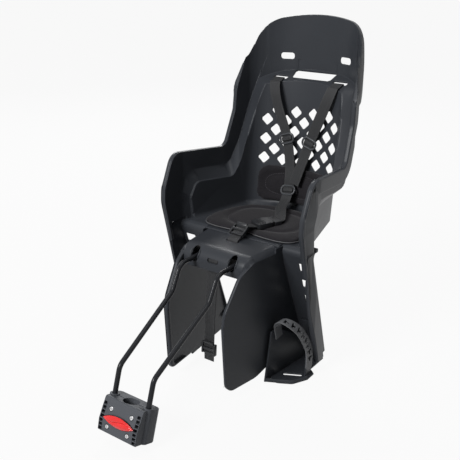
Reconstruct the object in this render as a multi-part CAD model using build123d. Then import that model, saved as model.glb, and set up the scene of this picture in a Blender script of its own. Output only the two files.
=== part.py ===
"""Rear child seat for a bicycle, carried by a bent rod on a clamp block that grips the seat tube.

Millimetres. +Z is up, -Y is forwards and +X is the child's left. The origin is the centre of the seat
tube in the clamp block, halfway up the block.
"""

import os
from math import cos, radians, sin, tan

from build123d import *

# Seat shell: the bucket
WALL = 4.0
PANEL_RADIUS = 206.5
PANEL_LEAN = 8.1
PANEL_Y = 595.0
PANEL_Z = 405.0
PANEL_TOP = 529.0
PAN_Z = 245.0
PAN_FRONT_Y = 357.0
PAN_CORNER = 10.0
BACK_CORNER_RADIUS = 42.0
SIDE_Y = 386.0
INNER_X = 153.0
INNER_SPLAY = 14.4
OUTER_X = 173.5
OUTER_SPLAY = 7.4

# Seat shell: the stepped rim, drawn in side view as (Y, Z)
RIM_WIDTH = 11.0
RIM_STEP = 0.4
SKIRT_DEPTH = 28.0
SKIRT_WALL = 3.0
SKIRT_END_Y = 550.0
HEAD_LIP = 9.0
RIM_LINE = [(668, 690), (588, 622), (543, 508), (538, 462), (506, 383), (343, 399), (311, 328), (309, 298)]
RIM_RADII = [70, 60, 40, 22, 32, 40, 60]
RAIL_FRONT_TOP = (350, 118)
RAIL_FRONT_END = (394, 2)
RAIL_END_Z = -22.0
RAIL_RADIUS = 300.0
LEDGE_OUTER_LINE = [(630, 580), (549, 392), (516, 342), (384, 354), (357, 300)]
LEDGE_OUTER_RADII = [60, 26, 24, 24]
LEDGE_INNER_LINE = [(611, 575), (522, 350), (499, 319), (398, 326), (381, 292)]
LEDGE_INNER_RADII = [60, 18, 18, 18]
LEDGE_REACH = 45.0
LEDGE_OUTER_FOOT_Y = 362.0
LEDGE_INNER_FOOT_Y = 385.0

# Seat shell: the head
HEAD_Y = 655.0
HEAD_RADIUS = 230.0
HEAD_CORNER_RADIUS = 100.0
HEAD_TOP = 675.0
HEAD_TOP_RADIUS = 420.0
HEAD_SHOULDER = (119.0, 652.0)
HEAD_SHOULDER_RADIUS = 60.0
HEAD_HIP = (156.0, 508.0)
SHELF_SLOPE = 24.0
HEAD_SLOT_X = 73.0
HEAD_SLOT_Z = 575.5
HEAD_SLOT_SIZE = (30.0, 14.0)

# Seat shell: openings in the back
DIAMOND_PITCH = 44.0
DIAMOND_SIDE = 20.5
DIAMOND_CORNER = 2.6
FOUR_HOLES = [-1.5, -0.5, 0.5, 1.5]
FIVE_HOLES = [-2, -1, 0, 1, 2]
DIAMOND_ROWS = [FIVE_HOLES, FOUR_HOLES] * 3
STRAP_SLOT_X = 74.6
STRAP_SLOT_SIZE = (34.0, 13.0)
STRAP_SLOT_Y = 613.0
GRILLE_SLOT_FRONT = (47.0, 9.0)
GRILLE_SLOT_REAR = (52.0, 39.0)

# Seat shell: nose, wheel guards and leg wells
NOSE_FRONT_Y = 257.0
NOSE_TOP = 243.5
NOSE_RADIUS = 30.0
NOSE_BOTTOM_Z = 201.0
NOSE_EDGE = 11.0
NOSE_FLOOR_Y = (270.5, 338.0)
NOSE_FLOOR_Z = (203.0, 206.0)
GUARD_X = 75.0
GUARD_Y = 195.0
GUARD_SPLAY = 7.0
GUARD_LINE = [(300, 243), (240, 214), (198, 150), (193, 122), (202, -27), (290, -30), (438, 14)]
GUARD_RADII = [40, 40, 25, 24, 60]
GUARD_WALL = 3.5
GUARD_EDGE = 9.0
GUARD_EDGE_END = -20.0
GUARD_STEP_Y = 345.0
LEG_LEAN = 19.8
LEG_LIP_RADIUS = 14.0
LEG_INNER_X = 93.0
LEG_SLOT_SIZE = (26.0, 19.0)
LEG_SLOT_X = 145.5
LEG_SLOT_TOP_Z = 203.0
LEG_SLOT_PITCH = 41.0
LEG_SLOT_COUNT = 3
BELT_SLOT_SIZE = (26.0, 9.0)
BELT_SLOT_Z = 222.0
CROTCH_SLOT_Y = 327.0
CROTCH_SLOT_SIZE = (30.0, 7.0)

# Carrier rod
ROD_RADIUS = 5.0
ROD_SIDES = 12
ROD_SEAT_X = 46.0
ROD_BLOCK_X = 41.6
ROD_SEAT_Z = 221.0
ROD_FRONT_Y = 213.5
ROD_KNEE = (186.5, 172.0)
ROD_STEM_TOP = 88.5
ROD_STEM_END = 28.0
ROD_BEND_RADIUS = 26.0
ROD_CLEARANCE = 0.2
SOCKET_SIZE = (15.0, 29.0)
SOCKET_Z = 226.5
TUBE_TILT = 18.3

# Carrier plate under the pan
PLATE_SIZE = (132.0, 118.0)
PLATE_Y = 364.0
PLATE_THICKNESS = 6.0
PLATE_RIB = 5.0
PLATE_BOLT_X = 28.0
PLATE_BOLT_SPAN = 84.0
BOLT_RADIUS = 2.5
BOLT_HEAD_RADIUS = 4.5
BOLT_HEAD = 3.0
BOLT_GRIP = 28.0
BOSS_RADIUS = 5.0
SADDLE_WIDTH = 18.0
PLATE_GAP = 0.4
FIT = 0.1
ROD_REAR_GAP = 39.0
ROD_REAR_Y = PLATE_Y + PLATE_SIZE[1] / 2 + ROD_REAR_GAP

# Clamp block, drawn about an upright tube: local Z runs up the tube, local -Y is the front
TUBE_RADIUS = 15.9
PARTING = 1.0
BLOCK_Z = (-30.0, 34.0)
BLOCK_FRONT_X = 46.5
BLOCK_FRONT = [(-18.5, 34), (-23, 14), (-27.5, -8), (-26, -30)]
BLOCK_TOP_RADIUS = 5.0
BLOCK_REAR_X = 51.0
BLOCK_REAR_Y = 24.0
SOCKET_RADIUS = 9.5
CLAMP_SCREW_X = 24.7
CLAMP_SCREW_Z = (-18.0, 15.0)
CLAMP_SEATS = (-22.2, -18.2)
CLAMP_SCREW_RADIUS = 2.5
CLAMP_HEAD_RADIUS = 4.5
NUT_RADIUS = 4.6
NUT_SEAT = 16.0
CELL_X = 42.4
CELL_SIZE = (4.6, 6.0)
CELL_PITCH = 7.8
CELL_COUNT = 7
CELL_FLOOR = -14.0
BUTTON_SIZE = (76.0, 21.6)
BUTTON_Z = -2.5
LENS_STEPS = 12
BUTTON_FLOOR = -20.0
BUTTON_FACE = -27.2
BUTTON_STROKE = 3.0
BUTTON_PIN_X = 26.0

# Pads
PAD_GAP = 0.3
PAD_THICKNESS = 8.0
SEAT_PAD_LINE = [
    (0, 374), (40, 367), (88, 367), (113, 382), (122, 420), (110, 478), (86, 520), (48, 540), (0, 546),
]
SEAT_PAD_CORNER = 12.0
BACK_PAD_X = 91.0
BACK_PAD_Z = (256.0, 338.0)

# Harness: points along the middle of each strap
WEB_WIDTH = 25.0
WEB_THICKNESS = 2.0
WEB_GAP = 0.4
SLIDER_SIZE = (34.0, 9.0, 20.0)
ACROSS = (1, 0, 0)
ON_BASE = (Align.CENTER, Align.CENTER, Align.MIN)
LEG_SIDE_SHARE = 0.92  # Share of a wall that the leg space grows by towards the border
NOSE_EDGE_SHARE = 0.6  # Share of the inset that the inner block's chamfer loses
CLAMP_SOCKET_RADIUS = 2.3
STRAP_TOP = [(74.6, 611.5, 512), (74.6, 611.5, 521), (74.3, 608.2, 529.2), (73.5, 601, 529.4),
             (72.3, 591, 523),
             (66, 583.5, 500)]
LEFT_STRAP = [*STRAP_TOP, (52, 581.5, 463), (27.8, 579.5, 400), (13, 568, 345), (4, 558, 306)]
RIGHT_STRAP = [*((-x, y, z) for x, y, z in STRAP_TOP), (-54, 582, 463), (-29.5, 579.5, 403), (-16, 572, 345),
               (-11, 563.5, 312), (-10, 558, 290), (-6, 540, 272), (0, 514, 264), (14, 488, 262),
                (29, 462, 260.4),
               (33.4, 452.9, 259.8), (30.4, 446, 259.6)]
LEFT_SLIDER = 7
RIGHT_SLIDER = 7
ADJUSTER = 10
ANCHOR_TOP = 519.5
ANCHOR_SIZE = (40.0, 6.0, 8.0)
BUCKLE_REAR = (26.0, 436.0, 259.6)
BUCKLE_FRONT = (6.0, 390.0, 259.6)
BUCKLE_SIZE = (36.0, 40.0, 11.0)
BUCKLE_WELL = 5.0
BUCKLE_STROKE = 2.0
TONGUE_SIZE = (24.0, 26.0, 2.4)
CROTCH_STRAP = [(10, 399.2, 258.6), (6.4, 391, 258.6), (2, 377, 258.4), (0, 349, 253.4), (0, 335, 249),
                (0, 330, 247),
                (0, 327, 243), (0, 327, 233)]
CROTCH_ADJUSTER = 3
CROTCH_ANCHOR_TOP = 238.8
CROTCH_ANCHOR_SIZE = (40.0, 9.0, 7.0)
SAFETY_STRAP = [(-6, 266, 226), (-6, 265, 205), (-8, 262, 120), (-10, 258, 22), (-10, 257, -6)]
SAFETY_BUCKLE = 3

# Footrest on the child's left
SOLE_Z = -46.0
FOOT_WALL = 4.0
FOOT_CLEARANCE = 0.5
FOOT_INNER = (94.5, 303.0)
FOOT_OUTER = [(150.0, 333.0), (167.0, 366.0), (167.0, 392.0), (152.0, 404.0)]
FOOT_CORNER = 18.0
FOOT_SIDE_TOP = 66.0
FOOT_BACK_X = (113.0, 150.0)
FOOT_BACK_TOP = 60.0
FOOT_TAB_X = 156.0
FOOT_TAB_Y = (370.0, 391.0)
FOOT_TAB_TOP = 22.0
FOOT_SLOT = (132.0, 362.0)
FOOT_SLOT_SIZE = (40.0, 8.0)
FOOT_STRAP_WIDTH = 20.0
FOOT_STRAP_THICKNESS = 3.0
FOOT_STRAP = [(105.7, 345, 48), (105.2, 340, 74), (114, 331, 95), (132, 322, 104), (150, 326, 98),
              (160, 340, 80), (162, 358, 50),
              (162, 378, 15), (162, 380, -30)]


def polygon(points):
    return make_face(Polyline(*points, close=True))


def rounded(points, radii):
    """An open polyline whose inner corners are rounded by the given radii."""
    return FilletPolyline(*points, radius=radii)


def closed_face(line, closing):
    """The face between an open line and the straight run through the closing points."""
    start, end = line @ 0, line @ 1
    return make_face([*line.edges(), *Polyline(end, *closing, start).edges()])


def both_sides(shape):
    return shape + mirror(shape, about=Plane.YZ)


def side_plane(x, splay):
    """The vertical plane of the child's left wall: local x runs back, local y is up, z points out."""
    a = radians(splay)
    return Plane(origin=(x, SIDE_Y, 0), x_dir=(-sin(a), cos(a), 0), z_dir=(cos(a), sin(a), 0))


def side_points(points, splay):
    """Side-view points (Y, Z) in the local coordinates of a splayed side plane."""
    return [((y - SIDE_Y) / cos(radians(splay)), z) for y, z in points]


def leg_line(z):
    """Y of the front of the leg wells' rear wall at a height."""
    return PAN_FRONT_Y + (PAN_Z - z) * tan(radians(LEG_LEAN))


def panel_line(z):
    """Y of the panel's front at the middle of the seat, at a height."""
    return PANEL_Y + (z - PANEL_Z) * tan(radians(PANEL_LEAN))


CROSS_Y = 330.0
FAR_FRONT = 150.0
FAR_TOP = 720.0
LOW_END = -60.0


def rim_outline():
    """The open side-view line of the rim, from above the head to the foot of the rail."""
    points = [*RIM_LINE, RAIL_FRONT_TOP, RAIL_FRONT_END]
    return rounded(points, [*RIM_RADII, RAIL_RADIUS])


def rim_face():
    """Everything behind and below the rim in side view."""
    return closed_face(rim_outline(), [(RAIL_FRONT_END[0] + 8, RAIL_END_Z), (900, RAIL_END_Z), (900, 690)])


def ledge_face(points, radii, grow, foot_y, splay):
    """Everything in front of and above a ledge line on a side plane, grown by a wall."""
    floor = PAN_Z + 0.3
    line = rounded(side_points([*points, (foot_y, floor)], splay), radii)
    closing = [(CROSS_Y, floor), (CROSS_Y, FAR_TOP), (points[0][0], FAR_TOP)]
    face = closed_face(line, side_points(closing, splay))
    return offset(face, amount=grow, kind=Kind.INTERSECTION) if grow else face


def rounded_back(depth, radius, half_width, splay, corner, front):
    """A plan face whose back is a shallow arc that turns through rounded corners into splayed sides.

    The arc passes through (0, depth). The sides are half_width from the middle at Y = SIDE_Y.
    """
    a = tan(radians(splay))
    reach = min(half_width, radius - 1)
    sag = radius - (radius**2 - reach**2) ** 0.5
    arc = ThreePointArc((-reach, depth - sag), (0, depth), (reach, depth - sag))
    outside = make_face([*arc.edges(), *Polyline(arc @ 1, (reach, front), (-reach, front), arc @ 0).edges()])
    sides = [(half_width + (SIDE_Y - y) * a, y) for y in (front, depth + 60)]
    face = outside & polygon([*sides, *((-x, y) for x, y in reversed(sides))])
    return fillet([v for v in face.vertices() if v.Y > front + 1], corner)


def tub(grow):
    """The space inside the bucket below the head, grown by a wall."""
    lean = radians(PANEL_LEAN)
    plan = rounded_back(PANEL_Y + grow, PANEL_RADIUS + grow, INNER_X + grow, INNER_SPLAY,
                        BACK_CORNER_RADIUS + grow, PAN_FRONT_Y - 80)
    leaning = Plane(origin=(0, PANEL_Y, PANEL_Z), x_dir=(1, 0, 0), z_dir=(0, sin(lean), cos(lean)))
    body = extrude(leaning * (Pos(0, -PANEL_Y) * plan), amount=300, both=True)
    floor = PAN_Z - grow
    front = PAN_FRONT_Y - WALL + grow
    block = Box(500, 600, PANEL_TOP - floor, align=(Align.CENTER, Align.MIN, Align.MIN))
    body = body & Pos(0, front, floor) * block
    low = [e for e in body.edges() if abs(e.center().Z - floor) < 0.5 and e.bounding_box().max.Y > front + 1]
    return chamfer(low, PAN_CORNER)


def column(grow):
    """The head's plan with rounded back corners, drawn through the whole height."""
    plan = rounded_back(HEAD_Y + grow, HEAD_RADIUS + grow, OUTER_X - RIM_WIDTH + 2 + grow, OUTER_SPLAY,
                        HEAD_CORNER_RADIUS + grow, FAR_FRONT - 40)
    return extrude(Pos(0, 0, LOW_END - 20) * plan, amount=FAR_TOP - LOW_END + 40)


def plug(grow):
    """The space that the stepped rim band adds beside the bucket on the child's left, grown by a wall."""
    inner = ledge_face(LEDGE_INNER_LINE, LEDGE_INNER_RADII, grow, LEDGE_INNER_FOOT_Y, INNER_SPLAY)
    outer = ledge_face(LEDGE_OUTER_LINE, LEDGE_OUTER_RADII, grow, LEDGE_OUTER_FOOT_Y, OUTER_SPLAY)
    inside = side_plane(INNER_X, INNER_SPLAY)
    border = side_plane(OUTER_X - RIM_WIDTH + grow, OUTER_SPLAY)
    step = loft([inside * inner, border * outer], ruled=True) + extrude(inside * inner, amount=-LEDGE_REACH)
    corners = [(FAR_FRONT, LOW_END), (FAR_FRONT, FAR_TOP), (CROSS_Y + 8, FAR_TOP), (CROSS_Y + 8, LOW_END)]
    step = step + extrude(border * polygon(side_points(corners, OUTER_SPLAY)), amount=-60)
    return step & column(grow)


def head(grow):
    """The space inside the head and over the shelf behind the panel, grown by a wall."""
    low, high = PANEL_TOP - 90, HEAD_TOP + 30
    plan = rounded_back(HEAD_Y + grow, HEAD_RADIUS + grow, OUTER_X - RIM_WIDTH + grow, OUTER_SPLAY,
                        HEAD_CORNER_RADIUS + grow, SIDE_Y + 60)
    body = extrude(Pos(0, 0, low) * plan, amount=high - low)
    slope = tan(radians(SHELF_SLOPE))
    edge = panel_line(PANEL_TOP)
    level = PANEL_TOP - grow / cos(radians(SHELF_SLOPE))
    run = 250.0
    shelf = [
        (edge - run, level - run * slope), (edge + run, level + run * slope),
        (edge + run, 0), (edge - run, 0),
    ]
    return body - extrude(Plane.YZ * polygon(shelf), amount=run, both=True)


def leg_space(grow):
    """The leg well below the pan on the child's left, grown by a wall; its top rolls into the pan."""
    lean = radians(LEG_LEAN)
    top = PAN_Z + 0.3 - grow
    back = grow / cos(lean)
    lip_start = PAN_FRONT_Y + LEG_LIP_RADIUS * tan(radians(45 + LEG_LEAN / 2)) + 2
    corner = (PAN_FRONT_Y + grow * tan(lean) + back, top)
    line = rounded([(lip_start, top), corner, (leg_line(LOW_END) + back, LOW_END)], [LEG_LIP_RADIUS - grow])
    close = (PAN_Z - 0.5, CROSS_Y + 5) if grow else (top + 2, CROSS_Y)
    face = closed_face(line, [(close[1], LOW_END), (close[1], close[0]), (lip_start, close[0])])
    border = side_plane(OUTER_X - RIM_WIDTH + grow * LEG_SIDE_SHARE, OUTER_SPLAY)
    inside = extrude(border * Pos(0, 200) * Rectangle(900, 1200), amount=-150)
    return inside & Pos(LEG_INNER_X + grow, 0, 0) * extrude(Plane.YZ * face, amount=200)


def head_outline():
    """The head seen from the front, as a face drawn in X and Z."""
    left = [HEAD_HIP, HEAD_SHOULDER, (0, HEAD_TOP)]
    right = [(-x, z) for x, z in reversed(left[:2])]
    line = rounded([*left, *right], [HEAD_SHOULDER_RADIUS, HEAD_TOP_RADIUS, HEAD_SHOULDER_RADIUS])
    return closed_face(line, [(-400, HEAD_HIP[1]), (-400, -200), (400, -200), (400, HEAD_HIP[1])])


def bucket():
    """Panel, pan, side walls, ledges, rim bands, leg wells and head as one wall of constant thickness."""
    solid = tub(WALL) + both_sides(plug(WALL) + leg_space(WALL)) + head(WALL)
    solid = solid & extrude(Plane.YZ * offset(rim_face(), amount=-RIM_STEP), amount=400, both=True)
    solid = solid & extrude(Plane.XZ * head_outline(), amount=-900)
    left = plug(0) + leg_space(0)
    return solid - tub(0) - left - mirror(left, about=Plane.YZ) - head(0)


def skirt():
    """The flange round the rim and the skirt turned back from it, on the child's left."""
    low, high, rear = -148, 758, 900
    points = [(748, high), *RIM_LINE[1:], RAIL_FRONT_TOP, RAIL_FRONT_END, (444, low)]
    line = rounded(side_points(points, OUTER_SPLAY), [*RIM_RADII, RAIL_RADIUS, RAIL_RADIUS])
    behind = closed_face(line, side_points([(rear, low), (rear, high)], OUTER_SPLAY))
    front, above = 200, 700
    frame = [(front, RAIL_END_Z), (front, above), (SKIRT_END_Y, above), (SKIRT_END_Y, RAIL_END_Z)]
    window = polygon(side_points(frame, OUTER_SPLAY))
    band = (behind - offset(behind, amount=-SKIRT_DEPTH)) & window
    pocket = offset(behind, amount=-SKIRT_WALL) - offset(behind, amount=-SKIRT_DEPTH - 15)
    start = WALL / 2
    plane = side_plane(OUTER_X - RIM_WIDTH + start, OUTER_SPLAY)
    solid = extrude(plane * band, amount=RIM_WIDTH - start)
    hollow = extrude(plane * pocket, amount=RIM_WIDTH - start - SKIRT_WALL)
    return (solid - hollow) & column(RIM_WIDTH)


def head_lip():
    """The thick edge round the head, carrying on from the skirts."""
    rim, outline = rim_face(), head_outline()
    edge = extrude(Plane.YZ * rim, amount=400, both=True) & extrude(Plane.XZ * outline, amount=-900)
    inner_rim = extrude(Plane.YZ * offset(rim, amount=-HEAD_LIP), amount=400, both=True)
    away = inner_rim & extrude(Plane.XZ * offset(outline, amount=-HEAD_LIP), amount=-900)
    ring = column(RIM_WIDTH - 2.2) - column(WALL / 2 - 2)
    band = Pos(0, SKIRT_END_Y - 6, 480) * Box(600, 300, 300, align=(Align.CENTER, Align.MIN, Align.MIN))
    return (ring & band & edge) - away


def guard_plane(x):
    """The plane of the wheel guard on the child's left: local x runs back, local y is up, z points out."""
    a = radians(GUARD_SPLAY)
    return Plane(origin=(x, GUARD_Y, 0), x_dir=(sin(a), cos(a), 0), z_dir=(cos(a), -sin(a), 0))


def between_guards(grow):
    """The plan between the outer faces of the two wheel guards, through the whole height."""
    ends = [(GUARD_X + grow + (y - GUARD_Y) * tan(radians(GUARD_SPLAY)), y) for y in (100, 520)]
    plan = polygon([*ends, *((-x, y) for x, y in reversed(ends))])
    return extrude(Pos(0, 0, -300) * plan, amount=900)


def nose_block(inset):
    """The rounded block between the wheel guards in front of the pan, drawn smaller by a wall."""
    top, front = NOSE_TOP - inset, NOSE_FRONT_Y + inset
    low = NOSE_BOTTOM_Z - inset
    back = PAN_FRONT_Y + 14
    box = [(back, top), (front, top), (front, low), (back, low)]
    body = extrude(Plane.YZ * polygon(box), amount=200, both=True) & between_guards(-inset)
    across = body.edges().filter_by(Axis.X)
    brow = across.sort_by(lambda e: e.center().Z - e.center().Y)[-1]
    body = fillet(brow, NOSE_RADIUS - inset)
    ends = [e for e in body.edges() if abs(e.center().X) > 50]
    long = [e for e in ends if e.center().Z > low + 1 and e.center().Y < back - 1]
    return chamfer(long, NOSE_EDGE - inset * NOSE_EDGE_SHARE)


def nose_floor():
    """The web across the foot of the nose, behind the safety strap."""
    (front, back), (low, high) = NOSE_FLOOR_Y, NOSE_FLOOR_Z
    web = Pos(0, front, low) * Box(300, back - front, high - low, align=(Align.CENTER, Align.MIN, Align.MIN))
    return web & between_guards(-1)


def guard():
    """The wheel guard on the child's left with its thickened front edge."""
    points = [((y - GUARD_Y) / cos(radians(GUARD_SPLAY)), z) for y, z in GUARD_LINE]
    line = rounded(points, GUARD_RADII)
    top = NOSE_TOP - NOSE_EDGE
    rear = [((y - GUARD_Y) / cos(radians(GUARD_SPLAY)), z) for y, z in ((leg_line(GUARD_LINE[-1][1]) + 2, 14),
            (leg_line(215) + 2, 215), (PAN_FRONT_Y + 10, PAN_Z - 2))]
    blade = closed_face(line, rear)
    step = (GUARD_STEP_Y - GUARD_Y) / cos(radians(GUARD_SPLAY))
    under = PAN_Z - 1
    below = polygon([(-100, -100), (500, -100), (500, under), (step, under), (step, top), (-100, top)])
    sheet = extrude(guard_plane(GUARD_X + 0.4) * (blade & below), amount=-GUARD_WALL)
    front = polygon([(-100, GUARD_EDGE_END), (70, GUARD_EDGE_END), (70, top), (-100, top)])
    edge = (blade - offset(blade, amount=-GUARD_EDGE)) & front & below
    return sheet + extrude(guard_plane(GUARD_X + 0.2) * edge, amount=-GUARD_EDGE)


def saddles():
    """The blocks under the pan that the carrier rod and the screws of the carrier plate bear against."""
    top = PAN_Z - WALL / 2
    length = PLATE_SIZE[1] - 14
    block = Box(SADDLE_WIDTH, length, top - ROD_SEAT_Z - PLATE_GAP, align=ON_BASE)
    boss = extrude(RegularPolygon(BOSS_RADIUS, 8), amount=top - ROD_SEAT_Z - PLATE_GAP)
    body = Pos(ROD_SEAT_X, PLATE_Y, ROD_SEAT_Z + PLATE_GAP) * block
    for y in (PLATE_Y - PLATE_BOLT_SPAN / 2, PLATE_Y + PLATE_BOLT_SPAN / 2):
        body = body + Pos(PLATE_BOLT_X, y, ROD_SEAT_Z + PLATE_GAP) * boss
    groove = Pos(ROD_SEAT_X, PLATE_Y, ROD_SEAT_Z) * Rot(90, 0, 0) * Cylinder(ROD_RADIUS + ROD_CLEARANCE, 300)
    return both_sides(body - groove)


def corner_points(width, height, corner):
    """The outline of a rectangle whose corners are cut in two short steps."""
    w, h, c, d = width / 2, height / 2, corner, corner * 0.3
    quarter = [(w, h - c), (w - d, h - d), (w - c, h)]
    upper = [*quarter, *((-x, z) for x, z in reversed(quarter))]
    return [*upper, *((-x, -z) for x, z in upper)]


def cut_corners(width, height, corner):
    return polygon(corner_points(width, height, corner))


def back_openings():
    """The diamond lattice in the panel and the strap slots and grille above it."""
    lean = radians(PANEL_LEAN)
    panel = Plane(origin=(0, PANEL_Y, PANEL_Z), x_dir=(1, 0, 0), z_dir=(0, -cos(lean), sin(lean)))
    half, tip = DIAMOND_SIDE * cos(radians(45)), DIAMOND_CORNER * cos(radians(45))
    quarter = [(half - tip, -tip), (half - tip, tip)]
    turns = ((1, 0), (0, 1), (-1, 0), (0, -1))
    diamond = [(x * c - z * d, x * d + z * c) for c, d in turns for x, z in quarter]
    cuts = []
    for row, columns in enumerate(DIAMOND_ROWS):
        height = (row - (len(DIAMOND_ROWS) - 1) / 2) * DIAMOND_PITCH / 2
        for column_at in columns:
            turn = column_at * DIAMOND_PITCH / PANEL_RADIUS
            across = PANEL_RADIUS * sin(turn)
            hole = [(across + x * cos(turn), height + z) for x, z in diamond]
            cuts.append(extrude(panel * polygon(hole), amount=100, both=True))
    for x in (-STRAP_SLOT_X, STRAP_SLOT_X):
        slot = Pos(x, STRAP_SLOT_Y, PANEL_TOP - 15) * cut_corners(*STRAP_SLOT_SIZE, 3)
        cuts.append(extrude(slot, amount=40))
        head_place = Plane.XZ * Pos(x * HEAD_SLOT_X / STRAP_SLOT_X, HEAD_SLOT_Z)
        head_slot = head_place * cut_corners(*HEAD_SLOT_SIZE, 5)
        cuts.append(Pos(0, HEAD_Y, 0) * extrude(head_slot, amount=60, both=True))
    edge = panel_line(PANEL_TOP)
    (w1, d1), (w2, d2) = GRILLE_SLOT_FRONT, GRILLE_SLOT_REAR
    grille = polygon([(-w1, edge + d1), (w1, edge + d1), (w2, edge + d2), (-w2, edge + d2)])
    grille = chamfer(grille.vertices(), 4)
    cuts.append(extrude(Pos(0, 0, PANEL_TOP - 20) * grille, amount=60))
    return cuts


def front_openings():
    """The slots in the nose, the sockets round the rod and the footrest windows of the leg wells."""
    belt = Plane.XZ * Pos(0, BELT_SLOT_Z) * cut_corners(*BELT_SLOT_SIZE, 3)
    cuts = [Pos(0, NOSE_FRONT_Y, 0) * extrude(belt, amount=12, both=True)]
    crotch = Pos(0, CROTCH_SLOT_Y, PAN_Z - 30) * cut_corners(*CROTCH_SLOT_SIZE, 2)
    cuts.append(extrude(crotch, amount=60))
    for x in (-1, 1):
        socket = Plane.XZ * Pos(x * ROD_SEAT_X, SOCKET_Z) * cut_corners(*SOCKET_SIZE, 6)
        cuts.append(Pos(0, NOSE_FRONT_Y, 0) * extrude(socket, amount=26, both=True))
        for i in range(LEG_SLOT_COUNT):
            z = LEG_SLOT_TOP_Z - i * LEG_SLOT_PITCH
            window = Plane.XZ * Pos(x * LEG_SLOT_X, z) * Rectangle(*LEG_SLOT_SIZE)
            cuts.append(Pos(0, leg_line(z), 0) * extrude(window, amount=16, both=True))
    for x in (-PLATE_BOLT_X, PLATE_BOLT_X):
        for y in (PLATE_Y - PLATE_BOLT_SPAN / 2, PLATE_Y + PLATE_BOLT_SPAN / 2):
            hole = Pos(x, y, ROD_SEAT_Z) * RegularPolygon(BOLT_RADIUS + FIT, 8, major_radius=False)
            cuts.append(extrude(hole, amount=BOLT_GRIP / 2))
    return cuts


def seat_shell():
    body = bucket()
    side = skirt()
    body = body + side + mirror(side, about=Plane.YZ) + head_lip()
    blade = guard()
    nose = nose_block(0) - nose_block(WALL) + nose_floor() + blade + mirror(blade, about=Plane.YZ)
    body = body + nose + saddles()
    for cut in [*back_openings(), *front_openings()]:
        body = body - cut
    return body


def bent_path(points, radius):
    """A wire through the points, with an arc of the given radius at every corner."""
    stops = [Vector(*p) for p in points]
    edges, last = [], stops[0]
    for before, corner, after in zip(stops, stops[1:], stops[2:]):
        u, v = (before - corner).normalized(), (after - corner).normalized()
        half = radians(u.get_angle(v)) / 2
        start, end = corner + u * (radius / tan(half)), corner + v * (radius / tan(half))
        inwards = (u + v).normalized()
        middle = corner + inwards * (radius / sin(half) - radius)
        edges += [Edge.make_line(last, start), Edge.make_three_point_arc(start, middle, end)]
        last = end
    return Wire([*edges, Edge.make_line(last, stops[-1])])


def carrier_rod():
    """The bent rod: two stems in the clamp block, joined by a bow behind the seat."""
    down = (0, -sin(radians(TUBE_TILT)), -cos(radians(TUBE_TILT)))
    stem_end = [ROD_BLOCK_X, *(v * ROD_STEM_END for v in down[1:])]
    stem_top = [ROD_BLOCK_X, *(-v * ROD_STEM_TOP for v in down[1:])]
    knee = (ROD_SEAT_X - 0.5, *ROD_KNEE)
    front = (ROD_SEAT_X, ROD_FRONT_Y, ROD_SEAT_Z)
    rear = (ROD_SEAT_X, ROD_REAR_Y, ROD_SEAT_Z)
    left = [stem_end, stem_top, knee, front, rear]
    right = [(-x, y, z) for x, y, z in reversed(left)]
    path = bent_path([*left, *right], ROD_BEND_RADIUS)
    section = Plane(origin=stem_end, x_dir=ACROSS, z_dir=path % 0) * RegularPolygon(ROD_RADIUS, ROD_SIDES)
    return sweep(section, path=path)


def plate_holes(radius, low, high, sides=8):
    """Prisms at the four screws of the carrier plate."""
    holes = []
    for x in (-PLATE_BOLT_X, PLATE_BOLT_X):
        for y in (PLATE_Y - PLATE_BOLT_SPAN / 2, PLATE_Y + PLATE_BOLT_SPAN / 2):
            holes.append(extrude(Pos(x, y, low) * RegularPolygon(radius, sides), amount=high - low))
    return holes


def carrier_plate():
    """The plate that holds the rod against the pan, grooved along the top."""
    top = ROD_SEAT_Z - PLATE_GAP
    low = top - PLATE_THICKNESS - PLATE_RIB
    plate = Box(*PLATE_SIZE, PLATE_THICKNESS, align=(Align.CENTER, Align.CENTER, Align.MAX))
    body = Pos(0, PLATE_Y, top) * plate
    body = chamfer(body.edges().filter_by(Axis.Z), 8)
    for x in (-ROD_SEAT_X, ROD_SEAT_X):
        rib = Box(16, PLATE_SIZE[1] - 20, PLATE_RIB + 1, align=ON_BASE)
        body = body + Pos(x, PLATE_Y, low) * rib
        body = body - Pos(x, PLATE_Y, ROD_SEAT_Z) * Rot(90, 0, 0) * Cylinder(ROD_RADIUS + ROD_CLEARANCE, 300)
    for hole in plate_holes(BOLT_RADIUS + 3 * FIT, low - 1, top + 1):
        body = body - hole
    return body


def plate_screws():
    low = ROD_SEAT_Z - PLATE_GAP - PLATE_THICKNESS
    shanks = plate_holes(BOLT_RADIUS, low - 0.5, ROD_SEAT_Z + BOLT_GRIP / 2 - 1)
    heads = plate_holes(BOLT_HEAD_RADIUS, low - FIT - BOLT_HEAD, low - FIT, 16)
    sockets = plate_holes(2, low - FIT - BOLT_HEAD - 1, low - FIT - BOLT_HEAD + 1.6, 6)
    return [shank + head - socket for shank, head, socket in zip(shanks, heads, sockets)]


def block(shape):
    """Stand a shape drawn about an upright tube at the slope of the seat tube."""
    return Rot(-TUBE_TILT, 0, 0) * shape


def upright(face):
    """Put a face drawn in X and Z on the plane Y = 0."""
    return Plane.XZ * face


def along_y(face, start, end):
    """Extrude a face drawn in X and Z from one depth to another."""
    return Pos(0, end, 0) * extrude(upright(face), amount=end - start)


def screw_places():
    """X, Z and depth of the head's seat of the four clamp screws."""
    rows = list(zip(CLAMP_SCREW_Z, CLAMP_SEATS))
    return [(x, z, seat) for x in (-CLAMP_SCREW_X, CLAMP_SCREW_X) for z, seat in rows]


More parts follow.
